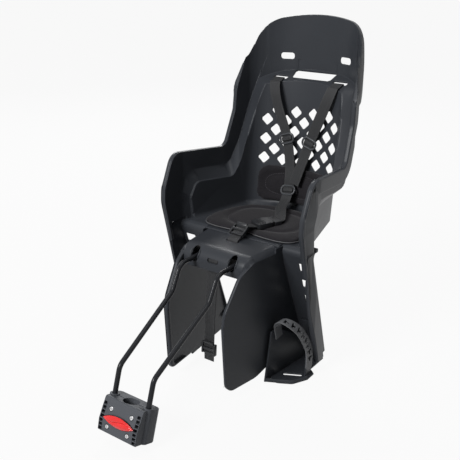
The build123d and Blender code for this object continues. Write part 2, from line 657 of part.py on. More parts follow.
def lens(inset):
    """The lens outline of the release button, in X and Z."""
    w, h = BUTTON_SIZE[0] / 2 - inset, BUTTON_SIZE[1] / 2 - inset * 0.7
    top = ThreePointArc((-w, BUTTON_Z), (0, BUTTON_Z + h), (w, BUTTON_Z))
    low = ThreePointArc((w, BUTTON_Z), (0, BUTTON_Z - h), (-w, BUTTON_Z))
    return polygon([arc @ (i / LENS_STEPS) for arc in (top, low) for i in range(LENS_STEPS)])


def clamp_front():
    """The front half of the clamp block, with the pocket of the release button."""
    low, high = BLOCK_Z
    face = polygon([(-PARTING, high), *BLOCK_FRONT, (-PARTING, low)])
    face = fillet(face.vertices().sort_by(lambda v: v.Y + v.X / 10)[-2], BLOCK_TOP_RADIUS)
    body = extrude(Plane.YZ * face, amount=BLOCK_FRONT_X, both=True)
    body = body - Cylinder(TUBE_RADIUS, 200)
    for x in (-ROD_BLOCK_X, ROD_BLOCK_X):
        body = body - Pos(x, 0, 0) * Cylinder(SOCKET_RADIUS + 0.5, 200)
    body = body - along_y(lens(0), -60, BUTTON_FLOOR)
    for x, z, seat in screw_places():
        body = body - along_y(Pos(x, z) * RegularPolygon(CLAMP_HEAD_RADIUS + 0.6, 16), -60, seat)
        body = body - along_y(Pos(x, z) * RegularPolygon(CLAMP_SCREW_RADIUS + 3 * FIT, 8), -60, 60)
    for x in (-CELL_X, CELL_X):
        for i in range(CELL_COUNT):
            z = BUTTON_Z + (i - (CELL_COUNT - 1) / 2) * CELL_PITCH
            body = body - along_y(Pos(x, z) * Rectangle(*CELL_SIZE), -60, CELL_FLOOR)
    return body


def clamp_rear():
    """The rear half of the clamp block, with the two sockets that take the rod."""
    low, high = BLOCK_Z
    plan = cut_corners(2 * BLOCK_REAR_X, 2 * BLOCK_REAR_Y, 8)
    body = extrude(Pos(0, 0, low) * plan, amount=high - low)
    body = body & Pos(0, PARTING, 0) * Box(300, 100, 300, align=(Align.CENTER, Align.MIN, Align.CENTER))
    for x in (-ROD_BLOCK_X, ROD_BLOCK_X):
        tall = high - low + 2
        body = body + Pos(x, 0, low) * Cylinder(SOCKET_RADIUS, tall, align=ON_BASE)
    for x in (-ROD_BLOCK_X, ROD_BLOCK_X):
        body = body - Pos(x, 0, 0) * Cylinder(ROD_RADIUS + ROD_CLEARANCE, 200)
    body = body - Cylinder(TUBE_RADIUS, 200)
    for x, z, _ in screw_places():
        body = body - along_y(Pos(x, z) * RegularPolygon(CLAMP_SCREW_RADIUS + 3 * FIT, 8), -60, 60)
        body = body - along_y(Pos(x, z) * RegularPolygon(NUT_RADIUS + 0.3, 6), NUT_SEAT, 60)
    return body


def clamp_screws():
    screws = []
    for x, z, seat in screw_places():
        shank = along_y(Pos(x, z) * RegularPolygon(CLAMP_SCREW_RADIUS, 8), seat - 1, NUT_SEAT + 4.5)
        head = along_y(Pos(x, z) * RegularPolygon(CLAMP_HEAD_RADIUS, 16), seat - FIT - 5, seat - FIT)
        socket = along_y(Pos(x, z) * RegularPolygon(CLAMP_SOCKET_RADIUS, 6), seat - 10, seat - FIT - 2)
        screws.append(shank + head - socket)
    return screws


def clamp_nuts():
    nuts = []
    for x, z, _ in screw_places():
        ring = RegularPolygon(NUT_RADIUS, 6) - RegularPolygon(CLAMP_SCREW_RADIUS + 2 * FIT, 8)
        nuts.append(along_y(Pos(x, z) * ring, NUT_SEAT + FIT, NUT_SEAT + FIT + 4))
    return nuts


def release_button():
    """The domed button, with the two pins that reach into the cover."""
    plate = along_y(lens(0.5), BUTTON_FACE, BUTTON_FACE + 3)
    dome = Pos(0, BUTTON_FACE, 0) * extrude(upright(lens(0.5)), amount=3.2, taper=32)
    body = plate + dome
    for x in (-BUTTON_PIN_X, BUTTON_PIN_X):
        pin = Pos(x, BUTTON_Z) * Rectangle(4, 4)
        body = body + along_y(pin, BUTTON_FACE + 1, BUTTON_FLOOR - 0.4 - BUTTON_STROKE)
    return body


def button_spring():
    """The bowed leaf spring between the button and the floor of its pocket."""
    rest = BUTTON_FLOOR - 0.5
    arc = ThreePointArc((-20, rest), (0, BUTTON_FACE + 3.6), (20, rest))
    return Pos(0, 0, BUTTON_Z - 3) * extrude(trace(arc, 0.6), amount=6)


def frames(points, across):
    """Planes along a strap: local x across the webbing, local y through it, z along it."""
    stations = [Vector(*p) for p in points]
    planes = []
    for i, here in enumerate(stations):
        before = stations[max(i - 1, 0)]
        after = stations[min(i + 1, len(stations) - 1)]
        run = (here - before).normalized() if i else (after - here).normalized()
        nextrun = (after - here).normalized() if i < len(stations) - 1 else run
        along = (run + nextrun).normalized()
        side = Vector(*(across[i] if isinstance(across, list) else across))
        side = (side - along * side.dot(along)).normalized()
        planes.append(Plane(origin=here, x_dir=side, z_dir=along))
    return planes


def straight(points, place):
    """The points with the strap laid straight through the frame at one of them."""
    here = Vector(*points[place])
    run = (here - Vector(*points[place - 1])).normalized() + (Vector(*points[place + 1]) - here).normalized()
    run = run.normalized() * (SLIDER_SIZE[2] / 2 + 1)
    ends = [tuple(here - run), tuple(here), tuple(here + run)]
    return [*points[:place], *ends, *points[place + 1:]]


def ribbon(points, across, width=WEB_WIDTH, thickness=WEB_THICKNESS):
    """A strap of webbing through the given points, with flat triangles between its stations."""
    x, y = width / 2, thickness / 2
    corners = [(x, y, 0), (-x, y, 0), (-x, -y, 0), (x, -y, 0)]
    loops = [[plane.from_local_coords(corner) for corner in corners] for plane in frames(points, across)]
    faces = [loops[0], loops[-1]]
    for near, far in zip(loops, loops[1:]):
        for i in range(4):
            faces += [[near[i - 1], near[i], far[i]], [near[i - 1], far[i], far[i - 1]]]
    return Solid(Shell([Face(Wire.make_polygon(corners, close=True)) for corners in faces]))


def sleeve(plane, width, depth, length):
    """A frame that a strap runs through."""
    frame = Box(width, depth, length) - Box(WEB_WIDTH + 4 * WEB_GAP, WEB_THICKNESS + 2 * WEB_GAP, length + 2)
    bars = Pos(0, depth / 2, 0) * Box(WEB_WIDTH + 2, depth / 2, length / 3)
    return plane * (frame - bars)


def seat_pad():
    """The plain pad on the pan."""
    left = [(-x, y) for x, y in reversed(SEAT_PAD_LINE[1:-1])]
    outline = polygon([*SEAT_PAD_LINE, *left])
    outline = fillet(outline.vertices(), SEAT_PAD_CORNER)
    return extrude(Pos(0, 0, PAN_Z + PAD_GAP) * outline, amount=PAD_THICKNESS)


def back_pad():
    """The plain pad on the panel, bent to the panel's arc."""
    lean = radians(PANEL_LEAN)
    leaning = Plane(origin=(0, PANEL_Y, PANEL_Z), x_dir=(1, 0, 0), z_dir=(0, sin(lean), cos(lean)))
    outer = PANEL_RADIUS - PAD_GAP
    ring = Pos(0, -PANEL_RADIUS) * (Circle(outer) - Circle(outer - PAD_THICKNESS))
    body = extrude(leaning * ring, amount=300, both=True)
    low, high = BACK_PAD_Z
    outline = Pos(0, (low + high) / 2) * RectangleRounded(2 * BACK_PAD_X, high - low, 22)
    return body & Pos(0, 700, 0) * extrude(upright(outline), amount=250)


def footrest():
    """The footrest on the child's left: sole, side wall, back plate on the leg well and strap tab."""
    lean = tan(radians(GUARD_SPLAY))
    rear = leg_line(SOLE_Z)
    inner_rear = FOOT_INNER[0] + (rear - FOOT_INNER[1]) * lean
    plan = [FOOT_INNER, *FOOT_OUTER, (FOOT_OUTER[-1][0], rear), (inner_rear, rear)]
    sole = fillet(polygon(plan).vertices().sort_by(Axis.Y)[0:2], FOOT_CORNER)
    body = extrude(Pos(0, 0, SOLE_Z) * sole, amount=FOOT_WALL)
    start = FOOT_INNER[1]
    side = [(start + 4, SOLE_Z), (start + 22, FOOT_SIDE_TOP), (start + 46, FOOT_SIDE_TOP)]
    side = polygon([*side, (rear - 30, SOLE_Z + 60), (rear - 2, SOLE_Z)])
    a = radians(GUARD_SPLAY)
    plane = Plane(origin=(*FOOT_INNER, 0), x_dir=(sin(a), cos(a), 0), z_dir=(cos(a), -sin(a), 0))
    body = body + extrude(plane * (Pos(-FOOT_INNER[1], 0) * side), amount=FOOT_WALL)
    slope = [(leg_line(z) - FOOT_CLEARANCE, z) for z in (SOLE_Z, FOOT_BACK_TOP)]
    back = polygon([*slope, *((y - FOOT_WALL, z) for y, z in reversed(slope))])
    x1, x2 = FOOT_BACK_X
    body = body + Pos(x1, 0, 0) * extrude(Plane.YZ * back, amount=x2 - x1)
    y1, y2 = FOOT_TAB_Y
    tab = Box(FOOT_WALL, y2 - y1, FOOT_TAB_TOP - SOLE_Z, align=(Align.MIN, Align.MIN, Align.MIN))
    body = body + Pos(FOOT_TAB_X, y1, SOLE_Z) * tab
    front, above = 100, 400
    face = [(leg_line(z) - FOOT_CLEARANCE, z) for z in (above, SOLE_Z)]
    keep = polygon([(front, SOLE_Z), (front, above), *face])
    body = body & extrude(Plane.YZ * keep, amount=400)
    slot = Pos(*FOOT_SLOT, SOLE_Z) * Rot(0, 0, 27) * cut_corners(*FOOT_SLOT_SIZE, 3)
    return body - extrude(slot, amount=20, both=True)


def buckle_place():
    """The plane of the buckle on the seat pad: local y points forwards along the strap."""
    run = Vector(*BUCKLE_FRONT) - Vector(*BUCKLE_REAR)
    run = run.normalized()
    middle = (Vector(*BUCKLE_FRONT) + Vector(*BUCKLE_REAR)) * 0.5
    return Plane(origin=middle, x_dir=(-run.Y, run.X, 0), z_dir=(0, 0, 1))


def buckle_parts():
    """The buckle's tongue, body and button."""
    w, l, h = BUCKLE_SIZE
    body = Box(w, l, h)
    body = chamfer(body.edges().filter_by(Axis.Z), 5)
    body = body - Pos(0, 6, -2) * Box(TONGUE_SIZE[0] + 1, l, TONGUE_SIZE[2] + 0.8)
    well = Pos(0, -4, h / 2) * Box(18, 16, 2 * BUCKLE_WELL)
    body = body - well - Pos(0, -l / 2, -1) * Box(WEB_WIDTH + 1, 14, WEB_THICKNESS + 1)
    tongue = Pos(0, l / 2 - 6, -2) * Box(TONGUE_SIZE[0], TONGUE_SIZE[1], TONGUE_SIZE[2])
    grip = Pos(0, l / 2 + 10, 0) * (Box(w, 16, 8) - Pos(0, 4, 0) * Box(WEB_WIDTH + 4, 16, WEB_THICKNESS + 2))
    tongue = tongue + grip
    rest = h / 2 - BUCKLE_WELL + BUCKLE_STROKE + 0.3
    button = Pos(0, -4, rest) * Box(17.2, 15.2, 3.2, align=ON_BASE)
    return [place_buckle(part) for part in (tongue, body, button)]


def place_buckle(part):
    return buckle_place() * part


def anchor(x, y, top, size):
    """A bar under a slot that keeps a strap from pulling through."""
    bar = Pos(x, y, top) * Box(*size, align=(Align.CENTER, Align.CENTER, Align.MAX))
    return bar - Pos(x, y, top - 5) * Box(WEB_WIDTH + 2 * WEB_GAP, WEB_THICKNESS + 2 * WEB_GAP, 10)


def save(name, shape):
    """Write one node's STEP file."""
    shape = Compound(children=shape) if isinstance(shape, list) else shape
    shape.label = name
    export_step(shape, f"parts/{name}.step")


os.makedirs("parts", exist_ok=True)
left_strap = straight(LEFT_STRAP, LEFT_SLIDER)
right_strap = straight(straight(RIGHT_STRAP, ADJUSTER), RIGHT_SLIDER)
crotch_strap = straight(CROTCH_STRAP, CROTCH_ADJUSTER)
safety_strap = straight(SAFETY_STRAP, SAFETY_BUCKLE)
left_frames = frames(left_strap, ACROSS)
right_frames = frames(right_strap, ACROSS)
crotch_frames = frames(crotch_strap, ACROSS)
safety_frames = frames(safety_strap, ACROSS)
tongue, body, button = buckle_parts()
rest = footrest()
foot_across = [(0.12, 1, 0)] * 3 + [(0, 1, 0)] * (len(FOOT_STRAP) - 3)
foot_strap = ribbon(FOOT_STRAP, foot_across, FOOT_STRAP_WIDTH, FOOT_STRAP_THICKNESS)

save("seat_pad", seat_pad())
save("back_pad", back_pad())
save("carrier_rod", carrier_rod())
save("carrier_plate", carrier_plate())
save("plate_screws", plate_screws())
save("clamp_front", block(clamp_front()))
save("clamp_rear", block(clamp_rear()))
save("clamp_screws", [block(screw) for screw in clamp_screws()])
save("clamp_nuts", [block(nut) for nut in clamp_nuts()])
save("release_button", block(release_button()))
save("button_spring", block(button_spring()))
save("left_footrest", rest)
save("right_footrest", mirror(rest, about=Plane.YZ))
save("left_foot_strap", foot_strap)
save("right_foot_strap", mirror(foot_strap, about=Plane.YZ))
save("left_shoulder_strap", ribbon(left_strap, ACROSS))
save("right_shoulder_strap", ribbon(right_strap, ACROSS))
save("left_strap_slider", sleeve(left_frames[LEFT_SLIDER + 1], *SLIDER_SIZE))
save("right_strap_slider", sleeve(right_frames[RIGHT_SLIDER + 1], *SLIDER_SIZE))
save("harness_adjuster", sleeve(right_frames[ADJUSTER + 3], *SLIDER_SIZE))
save("left_strap_anchor", anchor(STRAP_SLOT_X, STRAP_TOP[0][1], ANCHOR_TOP, ANCHOR_SIZE))
save("right_strap_anchor", anchor(-STRAP_SLOT_X, STRAP_TOP[0][1], ANCHOR_TOP, ANCHOR_SIZE))
save("buckle_tongue", tongue)
save("buckle_body", body)
save("buckle_button", button)
save("crotch_strap", ribbon(crotch_strap, ACROSS))
save("crotch_adjuster", sleeve(crotch_frames[CROTCH_ADJUSTER + 1], *SLIDER_SIZE))
save("crotch_anchor", anchor(0, CROTCH_SLOT_Y, CROTCH_ANCHOR_TOP, CROTCH_ANCHOR_SIZE))
save("safety_strap", ribbon(safety_strap, ACROSS))
save("safety_buckle", sleeve(safety_frames[SAFETY_BUCKLE + 1], *SLIDER_SIZE))
save("seat_shell", seat_shell())
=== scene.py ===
"""Looks of a rear child seat for a bicycle, from its moulded bucket to its clamp block.

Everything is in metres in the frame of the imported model. Lists of points are written in millimetres.
"""

import math

import bmesh
import bpy
from bpy.props import FloatProperty, FloatVectorProperty, PointerProperty
from mathutils import Matrix, Quaternion, Vector
from mathutils.bvhtree import BVHTree
from mathutils.geometry import convex_hull_2d


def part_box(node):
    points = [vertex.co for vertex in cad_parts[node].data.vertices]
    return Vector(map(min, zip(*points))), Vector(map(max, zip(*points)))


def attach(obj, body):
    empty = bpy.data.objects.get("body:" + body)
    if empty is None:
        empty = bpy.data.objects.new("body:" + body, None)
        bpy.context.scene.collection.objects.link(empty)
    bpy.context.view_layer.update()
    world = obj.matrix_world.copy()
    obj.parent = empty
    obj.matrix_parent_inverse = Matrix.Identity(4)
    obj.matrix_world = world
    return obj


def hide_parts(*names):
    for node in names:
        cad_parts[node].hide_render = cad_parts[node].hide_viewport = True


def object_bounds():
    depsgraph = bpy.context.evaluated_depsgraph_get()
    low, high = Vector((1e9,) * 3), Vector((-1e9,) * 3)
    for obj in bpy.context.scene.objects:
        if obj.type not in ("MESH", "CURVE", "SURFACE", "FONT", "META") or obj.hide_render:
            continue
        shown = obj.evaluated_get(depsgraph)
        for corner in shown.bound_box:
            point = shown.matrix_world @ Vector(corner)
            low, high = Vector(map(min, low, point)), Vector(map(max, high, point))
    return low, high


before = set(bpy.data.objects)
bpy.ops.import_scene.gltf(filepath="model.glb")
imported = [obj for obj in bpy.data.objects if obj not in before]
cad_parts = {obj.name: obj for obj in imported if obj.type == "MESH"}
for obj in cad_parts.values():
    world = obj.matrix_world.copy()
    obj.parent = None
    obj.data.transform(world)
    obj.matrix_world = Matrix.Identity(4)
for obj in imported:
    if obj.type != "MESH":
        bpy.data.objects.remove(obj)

CAD_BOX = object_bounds()

bl_info = {
    "name": "Child bike seat",
    "version": (1, 0, 0),
    "blender": (4, 5, 0),
    "location": "3D View > Sidebar > Child seat",
    "description": "Builds the visible pieces of a rear child seat around its packed solids",
    "category": "Add Mesh",
}

MM = 0.001
ACROSS = Vector((1, 0, 0))
BACKWARDS = Vector((0, 1, 0))
UP = Vector((0, 0, 1))

# Faces that meet at less than this angle are one flat area
FLAT = math.radians(1.0)

# A sharp edge is rounded from this length on, and where its faces have this room, in widths of the rounding
EDGE_LENGTH = 0.4
EDGE_ROOM = 2.4

# Middle lines of the straps, from the slot down, and the points that hold a fitting
STRAP_TOP = [
    (74.6, 611.5, 512), (74.6, 613.4, 518.5), (74.6, 615.2, 525.5), (74.5, 614.7, 529.6),
    (74.3, 611.8, 531.2), (73.9, 606, 528.6), (73.2, 599, 525.4), (72.3, 591, 522.4), (66, 583.5, 500),
]
LEFT_STRAP = [*STRAP_TOP, (52, 581.5, 463), (27.8, 579.5, 400), (13, 568, 345), (4, 558, 306)]
RIGHT_STRAP = [
    *((-x, y, z) for x, y, z in STRAP_TOP), (-54, 582, 463), (-29.5, 579.5, 403), (-16, 572, 345),
    (-11, 563.5, 312), (-10, 558, 290), (-6, 540, 272), (0, 514, 264), (14, 488, 262), (29, 462, 260.4),
    (33.4, 452.9, 259.8), (30.4, 446, 259.6),
]
CROTCH_STRAP = [
    (10, 399.2, 258.6), (6.4, 391, 258.8), (2, 377, 261.4), (0.5, 363, 265), (0, 351, 260),
    (0, 343, 252.6), (0, 336, 249.4), (0, 330, 247), (0, 327, 243), (0, 327, 233),
]
SAFETY_STRAP = [
    (-2, 262.6, 216), (-2, 262.4, 222), (-2, 265, 226.5), (-2.5, 268, 222), (-3, 267.5, 205),
    (-8, 262, 120), (-10, 258, 22), (-10, 257, -6),
]
LEFT_SLIDER = 10
RIGHT_SLIDER = 10
ADJUSTER = 13
CROTCH_ADJUSTER = 4
SAFETY_BUCKLE = 6

# Foot strap: middle line, and its holes, each a bar across and a stem along the strap
FOOT_STRAP = [
    (105.7, 345, 48), (105.2, 339, 74), (112, 332, 91), (126, 329, 99), (142, 334, 93), (154, 346, 77),
    (161, 361, 50), (162.4, 378, 15), (162, 380, -30),
]
FOOT_STRAP_WIDTH = 0.021
FOOT_STRAP_THICKNESS = 0.0028
FOOT_STRAP_CELL = 0.00125
FOOT_STRAP_TIP = 0.0004
TEE_PITCH = 0.0175
TEE_FIRST = 0.03
TEE_LAST = 0.022
TEE_BAR = (0.0066, 0.005)
TEE_STEM = (0.0026, 0.0116)

# Outer face of a skirt: half the width at a depth, splay, rear end and how near a corner on it has to be
SKIRT_X = 0.1735
SKIRT_Y = 0.386
SKIRT_SPLAY = math.radians(7.4)
SKIRT_REAR = 0.56
SKIRT_SLACK = 0.0004

# Boxes on the child's left that hold the thick front of a wheel guard and the corners of a shoulder slot
GUARD_FRONT = ((0.06, 0, -0.03), (0.095, 0.262, 0.232))
SHOULDER_SLOT = ((0.0574, 0.606, 0.518), (0.0918, 0.62, 0.536))

# Where the nosings of the ledges are: beyond, in from the skirt, in front of and above
LEDGE_X = 0.104
LEDGE_INSET = 0.015
LEDGE_Y = 0.612
LEDGE_Z = 0.262

# Front line of an arm in y and z, from its top down, and the bead that closes its two walls there
ARM_FRONT = [
    (357, 396), (350, 393.6), (344, 389.8), (339, 385.6), (335, 380), (330, 370), (321, 350), (313.4, 331),
    (310.6, 311), (311.4, 291), (316, 270), (320.4, 250), (325, 230), (329, 211), (330.4, 205),
]
ARM_MIDDLE = 169.9
ARM_BEAD = (5.6, 4.6)
ARM_BEAD_REACH = 1.0

# Middle and size of the gusset under an end of the pan's lip
LIP_GUSSET = ((162.4, 379, 245), (0.0112, 0.011, 0.0082))

# Rim of a footrest's sole: half width and half height, and its ends in x and y
SOLE_RIM = (2.6, 4.4)
SOLE_RIM_FROM = 98.5
SOLE_RIM_TO = 370.0
SOLE_DEPTH = 0.008

# Lip over a hole for the rod: half width, half height, radius, middle in y and z, slope, and turn in degrees
COLLAR = (10.6, 14.0, 1.9)
COLLAR_MIDDLE = (263, 229)
COLLAR_SLOPE = math.radians(38)
COLLAR_FROM = -30
COLLAR_TURN = 240

# The shoulder slots lie further up the shelf than the solid's
SLOT_SHIFT = Vector((0, 0.007, 0.0031))

# The block's cells reach further in than the solid's
CELL_INNER = 0.0401
CELL_SHIFT = 0.0031

# Carrier rod, child's left half from the clamp block to the bow
ROD_LINE = [(41.6, -8.79, -26.58), (41.6, 27.79, 84.02), (45.5, 186.5, 172), (46, 213.5, 221), (46, 462, 221)]
ROD_BEND = 26.0
TUBE_TILT = 18.3

# Screws of the carrier plate, and of the clamp block in its own frame, where y and z go together
PLATE_SCREW_X = 28
PLATE_SCREW_Y = (322, 406)
PLATE_SCREW_Z = 214.5
CLAMP_SCREW_X = 24.7
CLAMP_SCREW_YZ = ((-22.3, -18), (-18.3, 15))

# Sewn channels of the pads, in metres: half width, half height and middle
SEAT_SEAM = (0.086, 0.06, 0.456)
BACK_SEAM = (0.072, 0.026, 0.297)
SEAM_POWER = 2.8

# Pads: share of the solid's size, underside's slope, half the held width of a channel, its reach and depth
PAD_SHARE = 0.985
PAD_UNDER = 0.3
CHANNEL_HELD = 0.003
CHANNEL_REACH = 0.009
CHANNEL_DEPTH = 0.0024
PAD_MOMENTS = 20

# Half outline of the seat pad, and its piping: share of that outline, height over the underside and radius
SEAT_PAD_LINE = [
    (0, 374), (40, 367), (88, 367), (113, 382), (122, 420), (110, 478), (86, 520), (48, 540), (0, 546),
]
PIPING_SHARE = (0.985, 0.98)
PIPING_RISE = 0.0032
PIPING_RADIUS = 0.0011

# Release button in the block's frame, in millimetres: half length, half height, middle and face
BUTTON_HALF = (36.9, 10.2)
BUTTON_LEVEL = -2.5
BUTTON_FACE = -27.4
BUTTON_WALL = 0.4
BUTTON_DOME = 3.6
BUTTON_CREASE = 3.0
BUTTON_PEG = (26, -25.4)

# Camera that takes the photograph's view
CAMERA_PLACE = (0.80329, -0.79531, 0.8046)
CAMERA_AZIMUTH = math.radians(35.81)
CAMERA_RISE = math.radians(21.25)


def paint(name, what, default):
    """A setting for a colour."""
    return FloatVectorProperty(
        name=name, description=f"Colour of the {what}", subtype="COLOR", default=default
    )


def measure(name, description, default):
    """A setting for a length in metres."""
    return FloatProperty(name=name, description=description, unit="LENGTH", default=default)


class ShellSettings(bpy.types.PropertyGroup):
    """Moulded bucket and footrests."""

    colour: paint("Plastic", "moulded plastic", (0.033, 0.036, 0.042))
    edge: measure("Edge rounding", "Width of the rounding along sharp edges", 0.0012)
    grain: FloatProperty(
        name="Grain", description="Strength of the moulded grain", subtype="FACTOR", default=0.12
    )


class HarnessSettings(bpy.types.PropertyGroup):
    """Webbing of the harness."""

    width: measure("Webbing width", "Width of the webbing", 0.025)
    thickness: measure("Webbing thickness", "Thickness of the webbing", 0.0018)
    colour: paint("Webbing", "webbing", (0.014, 0.0145, 0.016))


class PadSettings(bpy.types.PropertyGroup):
    """Seat pad and back pad."""

    colour: paint("Cloth", "pad cloth", (0.019, 0.0178, 0.0205))
    pressure: FloatProperty(name="Pressure", description="Pressure that fills the pads", default=4.0)
    rise: measure("Rise", "Most that the cloth may swell", 0.004)
    voxel: measure("Mesh size", "Size of the cloth's mesh", 0.004)


class MountSettings(bpy.types.PropertyGroup):
    """Carrier rod, clamp block and release button."""

    rod_radius: measure("Rod radius", "Radius of the rod", 0.005)
    button: paint("Button", "release button", (0.72, 0.012, 0.012))
    block: paint("Block", "clamp block", (0.075, 0.08, 0.09))


class StageSettings(bpy.types.PropertyGroup):
    """Camera, lamps and sky."""

    lens: FloatProperty(name="Lens", description="Focal length in millimetres", default=56.91)
    key: FloatProperty(name="Key lamp", description="Power of the key lamp", unit="POWER", default=150.0)
    world: FloatProperty(name="Sky", description="Strength of the sky", default=0.09)


class SeatSettings(bpy.types.PropertyGroup):
    """All settings of the seat."""

    shell: PointerProperty(type=ShellSettings)
    harness: PointerProperty(type=HarnessSettings)
    pads: PointerProperty(type=PadSettings)
    mount: PointerProperty(type=MountSettings)
    stage: PointerProperty(type=StageSettings)


class Signal:
    """An output of a node; sums on it add Math nodes to its tree."""

    def __init__(self, web, socket):
        self.web = web
        self.socket = socket

    def maths(self, operation, first, second=0.0):
        return self.web.node("ShaderNodeMath", {"operation": operation}, {0: first, 1: second})

    def beside(self, output):
        """Another output of the same node."""
        return Signal(self.web, self.socket.node.outputs[output])

    def __add__(self, other):
        return self.maths("ADD", self, other)

    def __sub__(self, other):
        return self.maths("SUBTRACT", self, other)

    def __rsub__(self, other):
        return self.maths("SUBTRACT", other, self)

    def __mul__(self, other):
        return self.maths("MULTIPLY", self, other)

    __radd__ = __add__
    __rmul__ = __mul__


class Web:
    """A tree of nodes."""

    def __init__(self, tree):
        self.tree = tree

    def node(self, kind, settings, sockets, output=0):
        """Add a node with its settings and the values or links of its sockets."""
        made = self.tree.nodes.new(kind)
        for key, value in settings.items():
            setattr(made, key, value)
        for key, value in sockets.items():
            self.feed(made.inputs[key], value)
        return Signal(self, made.outputs[output])

    def feed(self, socket, value):
        """Link a signal or a list of them to a socket, or set a plain value on it."""
        if isinstance(value, Signal):
            value = [value]
        if isinstance(value, list):
            for each in value:
                self.tree.links.new(each.socket, socket)
        else:
            socket.default_value = value


class Finish(Web):
    """A procedural material that ends in one principled shader."""

    def __init__(self, name, **sockets):
        self.material = bpy.data.materials.new(name)
        self.material.use_nodes = True
        super().__init__(self.material.node_tree)
        self.tree.nodes.clear()
        self.shader = self.node("ShaderNodeBsdfPrincipled", {}, {})
        self.surface = self.tree.nodes.new("ShaderNodeOutputMaterial").inputs[0]
        self.feed(self.surface, self.shader)
        for socket, value in sockets.items():
            self.put(socket.replace("_", " ").title(), value)

    def put(self, socket, value):
        self.feed(self.shader.socket.node.inputs[socket.replace("Ior", "IOR")], value)

    def place(self):
        return self.node("ShaderNodeTexCoord", {}, {}, "Object")

    def noise(self, scale, detail=2.0):
        return self.node("ShaderNodeTexNoise", {}, {"Vector": self.place(), "Scale": scale, "Detail": detail})

    def mix(self, mask, first, second):
        return self.node("ShaderNodeMix", {"data_type": "RGBA"}, {0: mask, 6: first, 7: second}, 2)

    def shades(self, mask, colour, first, second):
        """Put two shades of a colour on the shader, mixed by a mask."""
        pair = [(*(channel * share for channel in colour), 1.0) for share in (first, second)]
        self.put("Base Color", self.mix(mask, *pair))

    def bump(self, height, strength, distance):
        sockets = {"Strength": strength, "Distance": distance, "Height": height}
        self.put("Normal", self.node("ShaderNodeBump", {}, sockets))


def moulded_plastic(name, colour, rough, grain):
    """Grained injection-moulded plastic with faint flow marks."""
    finish = Finish(name, specular_ior_level=0.14)
    flow = finish.noise(9.0, 4.0)
    fine = finish.noise(1500.0)
    finish.shades(flow, colour, 0.88, 1.12)
    finish.put("Roughness", flow * 0.08 + fine * 0.06 + (rough - 0.07))
    finish.bump(fine, grain, 0.0003)
    return finish.material


def smooth_plastic(name, colour, rough, coat=0.0):
    """Smooth glossy plastic with a slightly uneven skin."""
    finish = Finish(name, coat_weight=coat, specular_ior_level=0.25)
    wave = finish.noise(60.0)
    finish.shades(wave, colour, 0.93, 1.07)
    finish.put("Roughness", wave * 0.06 + (rough - 0.03))
    finish.bump(wave, 0.08, 0.0005)
    return finish.material


def painted_steel(name, colour):
    """Powder coat with a fine orange-peel skin."""
    finish = Finish(name, specular_ior_level=0.14)
    peel = finish.noise(420.0)
    finish.shades(finish.noise(20.0), colour, 0.9, 1.1)
    finish.put("Roughness", peel * 0.08 + 0.16)
    finish.bump(peel, 0.1, 0.0004)
    return finish.material


def zinc_plate(name):
    """Bright zinc on steel, with a faint mottle."""
    finish = Finish(name, metallic=1.0)
    mottle = finish.noise(900.0, 3.0)
    finish.put("Base Color", finish.mix(mottle, (0.6, 0.6, 0.6, 1), (0.78, 0.78, 0.79, 1)))
    finish.put("Roughness", mottle * 0.15 + 0.2)
    return finish.material


def woven(name, colour, pitch=0.0019, herringbone=0.0031, selvedge=0.0108):
    """Herringbone webbing; the weave follows the strap's own map, in metres across and along. Its raised ribs
    are painted lighter and its grooves darker, as painted highlight and painted shade.
    """
    finish = Finish(name)
    chart = finish.node("ShaderNodeUVMap", {"uv_map": "weave"}, {})
    across = finish.node("ShaderNodeSeparateXYZ", {}, {0: chart})
    along = across.beside(1)
    zig = across.maths("PINGPONG", across + 1.0, herringbone)
    rib = across.maths("SINE", (zig + along) * (2 * math.pi / pitch)) * 0.5 + 0.5
    fuzz = finish.noise(1800.0)
    edge = across.maths("GREATER_THAN", across.maths("ABSOLUTE", across), selvedge)
    # The weave's pattern in colour: painted highlight on the raised ribs and painted shade in the grooves,
    # with random fuzz
    finish.shades(rib * 0.7 + fuzz * 0.3, colour, 0.55, 1.6)
    finish.put("Roughness", 0.62 + rib * 0.18 - edge * 0.06)
    finish.bump(rib * (1.0 - edge * 0.5) + fuzz * 0.3, 0.55, 0.0006)
    return finish.material


def pad_cloth(name, colour):
    """Knitted pad cloth with a fine mesh of cells and a little lint."""
    finish = Finish(name, sheen_weight=0.08, specular_ior_level=0.1, sheen_roughness=0.5)
    cells = finish.node("ShaderNodeTexVoronoi", {}, {"Vector": finish.place(), "Scale": 620.0})
    lint = finish.noise(240.0, 4.0)
    finish.shades(cells * 0.6 + lint * 0.5, colour, 1.35, 0.6)
    finish.put("Roughness", lint * 0.12 + 0.78)
    finish.bump(cells * 0.7 + lint * 0.3, 0.5, 0.0006)
    return finish.material


def woven_thread(name, colour):
    """Twisted sewing thread, a little lighter than its cloth."""
    finish = Finish(name)
    twist = finish.noise(2600.0, 1.0)
    finish.shades(twist, colour, 2.0, 3.6)
    finish.put("Roughness", twist * 0.2 + 0.5)
    return finish.material


def new_piece(name, mesh, material, body, slot, *nodes):
    """Link a finished mesh, hang it on the body that it rides on, and hide the solids that it stands for."""
    piece = bpy.data.objects.new(name, mesh)
    bpy.context.scene.collection.objects.link(piece)
    mesh.materials.clear()
    mesh.materials.append(material)
    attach(piece, body)
    if nodes:
        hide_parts(*nodes)
    return piece


def shade(mesh, angle):
    mesh.shade_smooth()
    mesh.set_sharp_from_angle(angle=math.radians(angle))


def plain_mesh(bm, name):
    mesh = bpy.data.meshes.new(name)
    bm.to_mesh(mesh)
    bm.free()
    return mesh


def mesh_from(bm, name, angle=40.0):
    """A mesh that is smooth up to an angle."""
    mesh = plain_mesh(bm, name)
    shade(mesh, angle)
    return mesh


def closed_mesh(bm, name, angle=50.0):
    """A mesh that is smooth up to an angle, with its faces turned outwards."""
    bmesh.ops.recalc_face_normals(bm, faces=bm.faces)
    return mesh_from(bm, name, angle)


